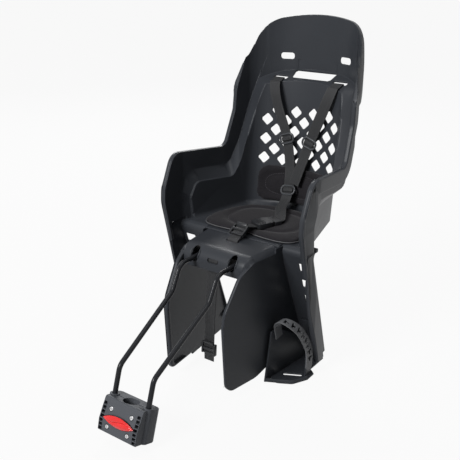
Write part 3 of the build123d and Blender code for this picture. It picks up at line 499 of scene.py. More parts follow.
def merged(node):
    """A joined-up copy of a node's mesh."""
    bm = bmesh.new()
    bm.from_mesh(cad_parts[node].data)
    bmesh.ops.remove_doubles(bm, verts=bm.verts, dist=2e-5)
    return bm


def flat_areas(bm):
    """A number for each face, shared by all faces of its flat area, and the corners of each area."""
    area = {}
    for first in bm.faces:
        if first in area:
            continue
        number, queue = len(area), [first]
        area[first] = number
        while queue:
            for edge in queue.pop().edges:
                if len(edge.link_faces) != 2 or edge.calc_face_angle() > FLAT:
                    continue
                for face in edge.link_faces:
                    if face not in area:
                        area[face] = number
                        queue.append(face)
    corners = {}
    for face, number in area.items():
        corners.setdefault(number, set()).update(v.co.to_tuple(6) for v in face.verts)
    return area, corners


def room_beside(edge, area, corners):
    """How far the narrower of an edge's two flat areas reaches from it."""
    start, run = edge.verts[0].co, (edge.verts[1].co - edge.verts[0].co).normalized()
    reach = []
    for face in edge.link_faces:
        arms = (Vector(co) - start for co in corners[area[face]])
        reach.append(max((arm - run * arm.dot(run)).length for arm in arms))
    return min(reach)


def round_edges(bm, width, angle, segments, chosen=None):
    """Round the sharp edges of a mesh, where the faces beside them have room for it."""
    area, corners = flat_areas(bm)
    sharp = [e for e in bm.edges if len(e.link_faces) == 2 and e.calc_face_angle() > math.radians(angle)]
    sharp = [e for e in sharp if e.calc_length() > EDGE_LENGTH * width]
    sharp = [e for e in sharp if room_beside(e, area, corners) > EDGE_ROOM * width]
    sharp = [e for e in sharp if chosen is None or chosen(e)]
    bmesh.ops.bevel(
        bm, geom=sharp, offset=width, offset_type="OFFSET", segments=segments, profile=0.5, affect="EDGES",
        clamp_overlap=False, miter_outer="ARC", material=-1,
    )
    bmesh.ops.triangulate(bm, faces=[f for f in bm.faces if len(f.verts) > 4])


def dressed(node, name, material, body, slot, edge, wide=(), moved=None):
    """A copy of a solid with its sharp edges rounded, some of them more widely, and some corners moved."""
    angle = 50.0
    bm = merged(node)
    for v in bm.verts if moved else ():
        v.co += moved(v.co)
    for width, chosen in wide:
        round_edges(bm, width, angle, 4, chosen)
    round_edges(bm, edge, angle, 2)
    piece = new_piece(name, mesh_from(bm, name, angle), material, body, slot, node)
    normals = piece.modifiers.new("Even shading", "WEIGHTED_NORMAL")
    normals.keep_sharp = True
    return piece


def points(line):
    return [Vector(p) * MM for p in line]


def flipped(line):
    return [(-x, y, z) for x, y, z in line]


def spline(a, b, c, d, t):
    """A point between b and c on a smooth line through four points."""
    square = 2 * a - 5 * b + 4 * c - d
    cube = 3 * b - a - 3 * c + d
    return 0.5 * (2 * b + (c - a) * t + square * t * t + cube * t ** 3)


def smooth_line(line, steps=10):
    """A smooth line through the points."""
    knots = points(line)
    ends = [2 * knots[0] - knots[1], *knots, 2 * knots[-1] - knots[-2]]
    out = []
    for four in zip(ends, ends[1:], ends[2:], ends[3:]):
        out.extend(spline(*four, i / steps) for i in range(steps))
    return [*out, knots[-1]]


def run_at(path, i):
    """The way from the point before a point of a path to the one after it."""
    return path[min(i + 1, len(path) - 1)] - path[max(i - 1, 0)]


def strap_frame(run, across=ACROSS):
    """Side, face and run directions of a strap."""
    run = run.normalized()
    side = (across - run * across.dot(run)).normalized()
    return side, run.cross(side), run


def frame_at(line, place):
    """A matrix at one of a strap's points: x across the webbing, y out of its face, z along it."""
    knots = points(line)
    matrix = Matrix(strap_frame(run_at(knots, place))).transposed().to_4x4()
    matrix.translation = knots[place]
    return matrix


def ribbon(name, line, width, thickness):
    """Webbing with rounded edges along a smooth line, with a map in metres across and along."""
    path = smooth_line(line)
    w, t = width / 2, thickness / 2
    columns = [-1, -0.96, -0.6, -0.2, 0.2, 0.6, 0.96, 1]
    section = [(x * w, t * (0.25 if abs(x) == 1 else 1)) for x in columns]
    section += [(x, -y) for x, y in reversed(section)]
    bm = bmesh.new()
    chart = bm.loops.layers.uv.new("weave")
    rings, travel = [], 0.0
    for i, here in enumerate(path):
        travel += (here - path[i - 1]).length if i else 0.0
        side, face, _ = strap_frame(run_at(path, i))
        rings.append(([bm.verts.new(here + side * x + face * y) for x, y in section], travel))
    count = len(section)
    for (near, low), (far, high) in zip(rings, rings[1:]):
        for i in range(count):
            j = (i + 1) % count
            cell = bm.faces.new((near[i], near[j], far[j], far[i]))
            for loop, u, v in zip(cell.loops, (i, j, j, i), (low, low, high, high)):
                loop[chart].uv = (section[u][0], v)
    for ring, _ in (rings[0], rings[-1]):
        bm.faces.new(ring)
    return closed_mesh(bm, name)


def add_tube(bm, path, section, closed=False, up=None):
    """Sweep a section, given as pairs, along a path; add it to a mesh."""
    count = len(path)
    rings = []
    face = None
    for i, here in enumerate(path):
        run = path[(i + 1) % count] - path[i - 1] if closed else run_at(path, i)
        run = run.normalized()
        face = up if up is not None else face if face is not None else run.orthogonal()
        face = (face - run * face.dot(run)).normalized()
        side = run.cross(face)
        rings.append([bm.verts.new(here + side * x + face * y) for x, y in section])
    pairs = list(zip(rings, rings[1:])) + ([(rings[-1], rings[0])] if closed else [])
    for near, far in pairs:
        for i in range(len(section)):
            j = (i + 1) % len(section)
            bm.faces.new((near[i], near[j], far[j], far[i]))
    if not closed:
        bm.faces.new(rings[0])
        bm.faces.new(rings[-1])


def oval(a, b, count):
    """Points round an ellipse, as pairs."""
    turns = [2 * math.pi * i / count for i in range(count)]
    return [(a * math.cos(turn), b * math.sin(turn)) for turn in turns]


def rounded_loop(width, height, corner, matrix, steps=6):
    """A closed loop round a rectangle with rounded corners, in x and z of a frame."""
    loop = []
    for quarter, (sx, sz) in enumerate(((1, 1), (-1, 1), (-1, -1), (1, -1))):
        for i in range(steps + 1):
            turn = math.pi / 2 * (quarter + i / steps)
            x = sx * (width / 2 - corner) + corner * math.cos(turn)
            z = sz * (height / 2 - corner) + corner * math.sin(turn)
            loop.append(matrix @ Vector((x, 0, z)))
    return loop


def add_block(bm, size, matrix, edge, segments=3):
    """Add a box with rounded edges."""
    made = bmesh.ops.create_cube(bm, size=1.0, matrix=matrix @ Matrix.Diagonal((*size, 1)))
    edges = {e for v in made["verts"] for e in v.link_edges}
    bmesh.ops.bevel(
        bm, geom=list(edges), offset=edge, offset_type="OFFSET", segments=segments, profile=0.5,
        affect="EDGES", clamp_overlap=True,
    )


def shift(x, y, z):
    return Matrix.Translation((x * MM, y * MM, z * MM))


class Tree(Web):
    """A Geometry Nodes tree with named inputs, turned into a plain mesh when it is used."""

    def __init__(self, name, **sizes):
        super().__init__(bpy.data.node_groups.new(name, "GeometryNodeTree"))
        face = self.tree.interface
        for way in ("INPUT", "OUTPUT"):
            face.new_socket("Geometry", in_out=way, socket_type="NodeSocketGeometry")
        self.names = {}
        for size, value in sizes.items():
            socket = face.new_socket(size, in_out="INPUT", socket_type="NodeSocketFloat")
            socket.default_value = value
            self.names[size] = socket.identifier
        socket = face.new_socket("material", in_out="INPUT", socket_type="NodeSocketMaterial")
        self.names["material"] = socket.identifier
        outputs = self.tree.nodes.new("NodeGroupInput").outputs
        self.inputs = {size: Signal(self, outputs[size]) for size in ("Geometry", *self.names)}

    def cylinder(self, sides, radius, depth):
        sockets = {"Vertices": sides, "Radius": radius, "Depth": depth}
        return self.node("GeometryNodeMeshCylinder", {}, sockets)

    def boolean(self, operation, sockets):
        return self.node("GeometryNodeMeshBoolean", {"operation": operation, "solver": "EXACT"}, sockets)

    def lifted(self, shape, height):
        """A shape moved up its own axis."""
        move = self.node("ShaderNodeCombineXYZ", {}, {"Z": height})
        return self.node("GeometryNodeTransform", {}, {"Geometry": shape, "Translation": move})

    def end(self, places, shape, way, **more):
        """Put a shape on points, turned their way, and close the tree with real, painted geometry."""
        turn = self.node("FunctionNodeAlignRotationToVector", {"axis": "Z"}, {"Vector": way})
        sockets = {"Points": places, "Instance": shape, "Rotation": turn, **more}
        copies = self.node("GeometryNodeInstanceOnPoints", {}, sockets)
        real = self.node("GeometryNodeRealizeInstances", {}, {"Geometry": copies})
        sockets = {"Geometry": real, "Material": self.inputs["material"]}
        painted = self.node("GeometryNodeSetMaterial", {}, sockets)
        self.feed(self.tree.nodes.new("NodeGroupOutput").inputs[0], painted)

    def grow(self, name, mesh, material, **sizes):
        """The plain mesh that the tree makes from a mesh of points or lines."""
        seed = bpy.data.objects.new(name, mesh)
        bpy.context.scene.collection.objects.link(seed)
        modifier = seed.modifiers.new("Repeat", "NODES")
        modifier.node_group = self.tree
        for size, value in {**sizes, "material": material}.items():
            modifier[self.names[size]] = value
        bpy.context.view_layer.update()
        grown = bpy.data.meshes.new_from_object(seed.evaluated_get(bpy.context.evaluated_depsgraph_get()))
        seed.modifiers.remove(modifier)
        bpy.data.objects.remove(seed)
        grown.name = name
        shade(grown, 40.0)
        return grown


def screw_tree():
    """Domed socket screws on points, facing the way that each point holds."""
    tree = Tree("Socket screws", head=0.0045, rise=0.005, hexagon=0.0023, shank=0.0025, reach=0.03)
    size = tree.inputs
    head, rise, reach = size["head"], size["rise"], size["reach"]
    dome = rise * 0.3
    neck = rise - dome
    barrel = tree.lifted(tree.cylinder(24, head, neck), neck * 0.5)
    sockets = {"Vertices": 24, "Radius Bottom": head, "Radius Top": head * 0.78, "Depth": dome}
    crown = tree.lifted(tree.node("GeometryNodeMeshCone", {}, sockets), neck)
    cap = tree.boolean("UNION", {"Mesh 2": [barrel, crown]})
    key = tree.lifted(tree.cylinder(6, size["hexagon"], rise), rise)
    cap = tree.boolean("DIFFERENCE", {"Mesh 1": cap, "Mesh 2": key})
    stem = tree.lifted(tree.cylinder(16, size["shank"], reach), reach * -0.5)
    screw = tree.node("GeometryNodeJoinGeometry", {}, {"Geometry": [cap, stem]})
    way = tree.node("GeometryNodeInputNamedAttribute", {"data_type": "FLOAT_VECTOR"}, {"Name": "way"})
    tree.end(size["Geometry"], screw, way)
    return tree


def stitch_tree():
    """Short rounded stitches laid end to end along lines."""
    tree = Tree("Stitches", pitch=0.0042, length=0.003, thread=0.00045)
    size = tree.inputs
    line = tree.node("GeometryNodeMeshToCurve", {}, {"Mesh": size["Geometry"]})
    sockets = {"Curve": line, "Length": size["pitch"]}
    places = tree.node("GeometryNodeCurveToPoints", {"mode": "LENGTH"}, sockets)
    ball = tree.node("GeometryNodeMeshIcoSphere", {}, {"Radius": 1.0, "Subdivisions": 2})
    sockets = {"X": size["thread"], "Y": size["thread"], "Z": size["length"] * 0.5}
    stretch = tree.node("ShaderNodeCombineXYZ", {}, sockets)
    tree.end(places, ball, places.beside("Tangent"), Scale=stretch)
    return tree


def facing_points(name, places, way):
    """Loose points that all hold one way to face."""
    bm = bmesh.new()
    for place in places:
        bm.verts.new(place)
    mesh = plain_mesh(bm, name)
    facing = mesh.attributes.new("way", "FLOAT_VECTOR", "POINT")
    facing.data.foreach_set("vector", [c for _ in places for c in way])
    return mesh


def middle_of(edge):
    return (edge.verts[0].co + edge.verts[1].co) / 2


def within(p, low, high):
    """Whether a point is in a box on the child's left, or in its mirror image."""
    return all(a < v < b for a, v, b in zip(low, (abs(p.x), p.y, p.z), high))


def skirt_x(y):
    """Half the width over the skirts at a depth, in metres."""
    return SKIRT_X - (y - SKIRT_Y) * math.tan(SKIRT_SPLAY)


def on_skirt(edge):
    """Whether an edge is on the outer face of a skirt."""
    ends = [v.co for v in edge.verts]
    return all(abs(abs(p.x) - skirt_x(p.y)) < SKIRT_SLACK and p.y < SKIRT_REAR for p in ends)


def on_guard_edge(edge):
    """Whether an edge is on the thick front of a wheel guard."""
    return within(middle_of(edge), *GUARD_FRONT)


def on_ledge_nosing(edge):
    """Whether an edge is the nosing between a ledge and the wall inside it."""
    here = middle_of(edge)
    beside = LEDGE_X < abs(here.x) < skirt_x(here.y) - LEDGE_INSET
    return edge.is_convex and beside and here.z > LEDGE_Z and here.y < LEDGE_Y


def slot_shift(p):
    """How far a corner of the shell moves: only those of the shoulder slots do."""
    return SLOT_SHIFT if within(p, *SHOULDER_SLOT) else Vector()


def cell_shift(p):
    """How far a corner of the cover moves: the inner walls of its cells go inwards."""
    inner = abs(abs(p.x) - CELL_INNER) < 0.0002
    return Vector((math.copysign(CELL_SHIFT, -p.x), 0, 0)) if inner else Vector()


class SEAT_OT_shell(bpy.types.Operator):
    """Dress the bucket and the footrests in moulded plastic"""

    bl_idname = "childseat.shell"
    bl_label = "Shell and footrests"

    def execute(self, context):
        look = context.scene.child_seat.shell
        plastic = moulded_plastic("Moulded plastic", look.colour, 0.36, look.grain)
        wide = ((0.0026, on_skirt), (0.0034, on_guard_edge), (0.004, on_ledge_nosing))
        shell = dressed("seat_shell", "shell", plastic, "seat", "shell_plastic", look.edge, wide, slot_shift)
        context.view_layer.update()
        new_piece("arm_beads", self.beads(), plastic, "seat", "shell_plastic")
        new_piece("rod_collars", self.collars(shell), plastic, "seat", "shell_plastic")
        for side in ("left", "right"):
            body = f"{side}_footrest"
            dressed(body, f"{side}_footrest_moulding", plastic, body, "shell_plastic", look.edge)
            new_piece(f"{side}_footrest_rim", self.sole_rim(body), plastic, body, "shell_plastic")
        return {"FINISHED"}

    def sole_rim(self, node):
        """A rolled rim along the front and the outer corner of a footrest's sole."""
        floor = CAD_BOX[0][2]
        wide, high = (size * MM for size in SOLE_RIM)
        low = [v.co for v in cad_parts[node].data.vertices if v.co.z < floor + SOLE_DEPTH]
        hull = convex_hull_2d([(abs(p.x), p.y) for p in low])
        first = min(range(len(hull)), key=lambda i: abs(low[hull[i]].x) + low[hull[i]].y)
        around = [low[i] for i in (*hull[first:], *hull[:first])]
        edge = [p for p in around if abs(p.x) > SOLE_RIM_FROM * MM and p.y < SOLE_RIM_TO * MM]
        edge = [Vector((p.x, p.y, floor + high)) for p in edge]
        path = []
        for i, here in enumerate(edge):
            run = run_at(edge, i)
            path.append(here + Vector((-run.y, run.x, 0)).normalized() * math.copysign(wide, here.x))
        bm = bmesh.new()
        add_tube(bm, path, oval(wide, high, 14), up=UP)
        return closed_mesh(bm, f"{node}_rim", 60.0)

    def collars(self, shell, steps=32):
        """A raised lip over each hole in the nose that the carrier rod goes into."""
        wide, high, radius = (size * MM for size in COLLAR)
        way = Vector((0, math.cos(COLLAR_SLOPE), -math.sin(COLLAR_SLOPE)))
        rise = way.cross(ACROSS)
        turns = [math.radians(COLLAR_FROM + COLLAR_TURN * i / steps) for i in range(steps + 1)]
        bm = bmesh.new()
        for hand in (-1, 1):
            start = Vector((hand * ROD_LINE[-1][0], *COLLAR_MIDDLE)) * MM - way * 0.03
            ring = [start + ACROSS * math.cos(a) * wide + rise * math.sin(a) * high for a in turns]
            add_tube(bm, dropped(shell, ring, way), oval(radius, radius, 10), up=way)
        return closed_mesh(bm, "rod_collars")

    def beads(self):
        """The rolled front of each arm, and the gusset under each end of the pan's lip."""
        wide, deep = (size * MM for size in ARM_BEAD)
        inset = deep - ARM_BEAD_REACH * MM
        place, size = LIP_GUSSET
        bm = bmesh.new()
        for hand in (-1, 1):
            line = smooth_line([(hand * ARM_MIDDLE, y, z) for y, z in ARM_FRONT], 4)
            ways = (run_at(line, i).cross(ACROSS).normalized() for i in range(len(line)))
            path = [here - way * inset for here, way in zip(line, ways)]
            add_tube(bm, path, oval(deep, wide, 20), up=ACROSS)
            add_block(bm, size, shift(hand * place[0], *place[1:]), 0.0015)
        return closed_mesh(bm, "arm_beads")


class SEAT_OT_pads(bpy.types.Operator):
    """Fill the seat pad and the back pad with a cloth simulation"""

    bl_idname = "childseat.pads"
    bl_label = "Pads"

    def execute(self, context):
        look = context.scene.child_seat.pads
        cloth = pad_cloth("Pad cloth", look.colour)
        seat = self.pad(context, "seat_pad", "seat_cushion", cloth, -UP, SEAT_SEAM)
        back = self.pad(context, "back_pad", "back_cushion", cloth, BACKWARDS, BACK_SEAM)
        thread = woven_thread("Sewing thread", look.colour)
        context.view_layer.update()
        lines = (
            (seat, [Vector((x, y, 0.3)) for x, y in seam_loop(*SEAT_SEAM)], -UP),
            (back, [Vector((x, 0.45, z)) for x, z in seam_loop(*BACK_SEAM)], BACKWARDS),
        )
        tree = stitch_tree()
        for piece, places, way in lines:
            name = f"{piece.name}_stitches"
            mesh = tree.grow(name, laid_on(piece, places, way), thread)
            new_piece(name, mesh, thread, "seat", "pad_foam")
        edge = smooth_plastic("Pad edge", (0.09, 0.09, 0.095), 0.5)
        new_piece("seat_pad_edge", self.piping(), edge, "seat", "pad_foam")
        return {"FINISHED"}

    def piping(self, steps=8):
        """The piping round the seat pad."""
        low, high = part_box("seat_pad")
        middle = (low + high) / 2
        half = [Vector((x * MM, y * MM, 0)) for x, y in SEAT_PAD_LINE]
        outline = [*half, *(Vector((-p.x, p.y, 0)) for p in reversed(half[1:-1]))]
        count = len(outline)
        wide, deep = PIPING_SHARE
        loop = []
        for i in range(count):
            four = [outline[(i + k) % count] for k in (-1, 0, 1, 2)]
            for step in range(steps):
                away = spline(*four, step / steps) - middle
                place = (middle.x + away.x * wide, middle.y + away.y * deep, low.z + PIPING_RISE)
                loop.append(Vector(place))
        bm = bmesh.new()
        add_tube(bm, loop, oval(PIPING_RADIUS, PIPING_RADIUS, 8), closed=True, up=UP)
        return closed_mesh(bm, "seat_pad_edge", 40.0)

    def pad(self, context, node, name, cloth, resting, seam):
        """Remesh a copy of the pad's solid, hold its underside and its sewn channel, and blow it up."""
        look = context.scene.child_seat.pads
        bm = merged(node)
        low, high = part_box(node)
        middle = (low + high) / 2
        share = (PAD_SHARE, PAD_SHARE, 1.0) if resting.z else (PAD_SHARE, 1.0, PAD_SHARE)
        for v in bm.verts:
            v.co = middle + (v.co - middle) * Vector(share)
        work = bpy.data.objects.new(name, plain_mesh(bm, name))
        context.scene.collection.objects.link(work)
        remesh = work.modifiers.new("Even mesh", "REMESH")
        remesh.mode = "VOXEL"
        remesh.voxel_size = look.voxel
        context.view_layer.update()
        mesh = bpy.data.meshes.new_from_object(work.evaluated_get(context.evaluated_depsgraph_get()))
        work.modifiers.clear()
        work.data = mesh
        held = work.vertex_groups.new(name="held")
        along = 1 if resting.z else 2
        for v in mesh.vertices:
            if v.normal.dot(resting) > PAD_UNDER or off_seam(v.co, seam, along) < CHANNEL_HELD:
                held.add([v.index], 1.0, "REPLACE")
        rest = [v.co.copy() for v in mesh.vertices]
        sim = work.modifiers.new("Filling", "CLOTH")
        sim.settings.use_pressure = True
        sim.settings.uniform_pressure_force = look.pressure
        sim.settings.effector_weights.gravity = 0.0
        sim.settings.vertex_group_mass = "held"
        sim.settings.quality = 6
        sim.collision_settings.use_collision = False
        for moment in range(1, PAD_MOMENTS + 1):
            context.scene.frame_set(moment)
        mesh = bpy.data.meshes.new_from_object(work.evaluated_get(context.evaluated_depsgraph_get()))
        work.modifiers.clear()
        context.scene.frame_set(1)
        for v, start in zip(mesh.vertices, rest):
            move = v.co - start
            if move.length > look.rise:
                v.co = start + move.normalized() * look.rise
            dip = 1 - off_seam(start, seam, along) / CHANNEL_REACH
            if dip > 0 and v.normal.dot(resting) < PAD_UNDER:
                v.co += resting * CHANNEL_DEPTH * dip * dip * (3 - 2 * dip)
        bpy.data.objects.remove(work)
        mesh.shade_smooth()
        piece = new_piece(name, mesh, cloth, "seat", "pad_foam", node)
        smooth = piece.modifiers.new("Finer", "SUBSURF")
        smooth.levels = smooth.render_levels = 1
        return piece


def off_seam(p, seam, along):
    """Distance in metres from a pad's sewn channel; the axis along the pad is y or z."""
    half_width, half_height, middle = seam
    x, y = p.x / half_width, (p[along] - middle) / half_height
    return abs((abs(x) ** SEAM_POWER + abs(y) ** SEAM_POWER) ** (1 / SEAM_POWER) - 1) * half_height


def seam_loop(half_width, half_height, middle, count=240):
    """Points round a sewn channel, as pairs across and along the pad."""
    loop = []
    for i in range(count):
        a = 2 * math.pi * i / count
        x, y = (math.copysign(abs(v) ** (2 / SEAM_POWER), v) for v in (math.cos(a), math.sin(a)))
        loop.append((x * half_width, middle + y * half_height))
    return loop


def dropped(piece, places, way):
    """Points where lines from the places first meet a piece."""
    tree = BVHTree.FromObject(piece, bpy.context.evaluated_depsgraph_get())
    hits = (tree.ray_cast(place, way)[0] for place in places)
    return [place for place in hits if place is not None]


def laid_on(piece, places, way):
    """A closed line of points dropped on a piece along a direction."""
    bm = bmesh.new()
    corners = [bm.verts.new(place - way * 0.0002) for place in dropped(piece, places, way)]
    for near, far in zip(corners, [*corners[1:], corners[0]]):
        bm.edges.new((near, far))
    return plain_mesh(bm, "seam_line")


class SEAT_OT_straps(bpy.types.Operator):
    """Lay the harness, crotch and safety straps"""

    bl_idname = "childseat.straps"
    bl_label = "Straps"

    def execute(self, context):
        look = context.scene.child_seat.harness
        webbing = woven("Webbing", look.colour)
        for name, line in (
            ("left_shoulder_strap", LEFT_STRAP), ("right_shoulder_strap", RIGHT_STRAP),
            ("crotch_strap", CROTCH_STRAP), ("safety_strap", SAFETY_STRAP),
        ):
            mesh = ribbon(f"{name}_webbing", line, look.width, look.thickness)
            new_piece(f"{name}_webbing", mesh, webbing, "seat", "webbing", name)
        return {"FINISHED"}


class SEAT_OT_fittings(bpy.types.Operator):
    """Make the sliders, adjusters, anchors and the buckle"""

    bl_idname = "childseat.fittings"
    bl_label = "Harness fittings"

    def execute(self, context):
        black = smooth_plastic("Black acetal", (0.02, 0.021, 0.0235), 0.3)
        rim = smooth_plastic("Slider rim", (0.055, 0.058, 0.064), 0.28)
        webbing = bpy.data.materials["Webbing"]
        for name, line, place in (
            ("left_strap_slider", LEFT_STRAP, LEFT_SLIDER), ("right_strap_slider", RIGHT_STRAP, RIGHT_SLIDER),
            ("harness_adjuster", RIGHT_STRAP, ADJUSTER),
        ):
            self.slider(name, frame_at(line, place), rim, webbing)
        self.ladder("crotch_adjuster", frame_at(CROTCH_STRAP, CROTCH_ADJUSTER), black)
        self.ladder("safety_buckle", frame_at(SAFETY_STRAP, SAFETY_BUCKLE), black)
        for node in ("left_strap_anchor", "right_strap_anchor", "crotch_anchor"):
            dressed(node, f"{node}_bar", black, "seat", "buckle_plastic", 0.001)
        for node, body, edge in (
            ("buckle_tongue", "seat", 0.0008), ("buckle_body", "seat", 0.0009),
            ("buckle_button", "buckle_button", 0.0008),
        ):
            dressed(node, f"{node}_moulding", black, body, "buckle_plastic", edge)
        return {"FINISHED"}

    def slider(self, name, matrix, rim, webbing):
        """A wire-thin rounded frame with the webbing turned over its middle bar."""
        bm = bmesh.new()
        out = matrix @ shift(0, 1.8, 0)
        loop = rounded_loop(0.0335, 0.0205, 0.009, out)
        add_tube(bm, loop, oval(0.0023, 0.0024, 12), closed=True, up=matrix.col[1].to_3d())
        new_piece(f"{name}_frame", closed_mesh(bm, name, 60), rim, "seat", "buckle_plastic", name)
        bm = bmesh.new()
        add_block(bm, (0.0255, 0.0062, 0.0098), out, 0.0026, 4)
        chart = bm.loops.layers.uv.new("weave")
        turned = out.inverted()
        for face in bm.faces:
            for loop in face.loops:
                local = turned @ loop.vert.co
                loop[chart].uv = (local.x, local.z + local.y)
        new_piece(f"{name}_turn", mesh_from(bm, f"{name}_turn", 60), webbing, "seat", "webbing")

    def ladder(self, name, matrix, black):
        """A ladder-lock: two rails, three bars and a tilted thumb tab."""
        bm = bmesh.new()
        for side in (-1, 1):
            add_block(bm, (0.0045, 0.0082, 0.026), matrix @ shift(side * 15.4, 1, 0), 0.0014)
        for along, depth in ((-10.6, 0.6), (0, 3.2), (10.6, 1)):
            add_block(bm, (0.032, 0.0044, 0.005), matrix @ shift(0, depth, along), 0.0014)
        tab = matrix @ shift(0, 3.6, -13.6) @ Matrix.Rotation(math.radians(24), 4, "X")
        add_block(bm, (0.026, 0.0034, 0.0075), tab, 0.0012)
        new_piece(f"{name}_frame", closed_mesh(bm, name, 60), black, "seat", "buckle_plastic", name)


class SEAT_OT_foot_straps(bpy.types.Operator):
    """Make the pierced rubber straps over the feet"""

    bl_idname = "childseat.foot_straps"
    bl_label = "Foot straps"

    def execute(self, context):
        rubber = smooth_plastic("Strap rubber", (0.12, 0.123, 0.13), 0.42)
        for side, hand, line in (("left", 1, FOOT_STRAP), ("right", -1, flipped(FOOT_STRAP))):
            name = f"{side}_foot_strap"
            mesh = self.strap(f"{name}_band", line, hand)
            new_piece(f"{name}_band", mesh, rubber, f"{side}_footrest", "strap_rubber", name)
        return {"FINISHED"}

    def strap(self, name, line, hand):
        """A band on a fine grid, with tee-shaped holes left out of it and a rounded tail."""
        path = smooth_line(line, 14)
        lengths = [0.0]
        for a, b in zip(path, path[1:]):
            lengths.append(lengths[-1] + (b - a).length)
        whole, half = lengths[-1], FOOT_STRAP_WIDTH / 2
        rows = int(whole / FOOT_STRAP_CELL)
        columns = int(FOOT_STRAP_WIDTH / FOOT_STRAP_CELL)
        bm = bmesh.new()
        grid = []
        for r in range(rows + 1):
            at = whole * r / rows
            i = max(k for k in range(len(path) - 1) if lengths[k] <= at)
            t = (at - lengths[i]) / (lengths[i + 1] - lengths[i])
            here = path[i].lerp(path[i + 1], t)
            run = path[min(i + 2, len(path) - 1)] - path[max(i - 1, 0)]
            side, _, _ = strap_frame(run, Vector((0.1 * hand, 1, 0)))
            from_tip = half - min(whole - at, half)
            w = math.sqrt(max(FOOT_STRAP_TIP ** 2, half ** 2 - from_tip ** 2))
            grid.append([bm.verts.new(here + side * w * (2 * c / columns - 1)) for c in range(columns + 1)])
        for r in range(rows):
            at = whole * (r + 0.5) / rows
            for c in range(columns):
                x = (c + 0.5) / columns * FOOT_STRAP_WIDTH - half
                if not self.pierced(x, at, whole):
                    bm.faces.new((grid[r][c], grid[r][c + 1], grid[r + 1][c + 1], grid[r + 1][c]))
        bmesh.ops.delete(bm, geom=[v for v in bm.verts if not v.link_faces], context="VERTS")
        bmesh.ops.recalc_face_normals(bm, faces=bm.faces)
        bmesh.ops.solidify(bm, geom=list(bm.faces), thickness=FOOT_STRAP_THICKNESS)
        return mesh_from(bm, name)

    def pierced(self, x, at, whole):
        """Whether a place across and along the strap is in one of its holes."""
        step = (at - TEE_FIRST) % TEE_PITCH
        in_tee = any(abs(x) < half and step < end for half, end in (TEE_BAR, TEE_STEM))
        return in_tee and TEE_FIRST < at < whole - TEE_LAST


class SEAT_OT_carrier(bpy.types.Operator):
    """Bend the carrier rod and dress its plate and screws"""

    bl_idname = "childseat.carrier"
    bl_label = "Carrier rod and plate"

    def execute(self, context):
        look = context.scene.child_seat.mount
        coat = painted_steel("Black powder coat", (0.016, 0.017, 0.02))
        line = [*ROD_LINE, *reversed(flipped(ROD_LINE))]
        bm = bmesh.new()
        add_tube(bm, self.bent(points(line)), oval(look.rod_radius, look.rod_radius, 20))
        mesh = closed_mesh(bm, "carrier_bar")
        new_piece("carrier_bar", mesh, coat, "seat", "black_paint", "carrier_rod")
        dressed("carrier_plate", "carrier_plate_pressing", coat, "seat", "black_paint", 0.0008)
        steel = zinc_plate("Zinc screws")
        sides = (-PLATE_SCREW_X, PLATE_SCREW_X)
        places = [Vector((x, y, PLATE_SCREW_Z)) * MM for x in sides for y in PLATE_SCREW_Y]
        seeds = facing_points("plate_screw_seeds", places, -UP)
        mesh = screw_tree().grow("plate_screw_set", seeds, steel, rise=0.003, hexagon=0.002, reach=0.0195)
        new_piece("plate_screw_set", mesh, steel, "seat", "steel", "plate_screws")
        return {"FINISHED"}

    def bent(self, knots, steps=10):
        """The rod's middle line with a round bend at each corner."""
        radius = ROD_BEND * MM
        path = [knots[0]]
        for before, corner, after in zip(knots, knots[1:], knots[2:]):
            u, v = (before - corner).normalized(), (after - corner).normalized()
            half = u.angle(v) / 2
            centre = corner + (u + v).normalized() * radius / math.sin(half)
            start, end = corner + u * radius / math.tan(half), corner + v * radius / math.tan(half)
            arm = start - centre
            axis, turn = arm.cross(end - centre), arm.angle(end - centre)
            for i in range(steps + 1):
                path.append(centre + Quaternion(axis, turn * i / steps) @ arm)
        return [*path, knots[-1]]


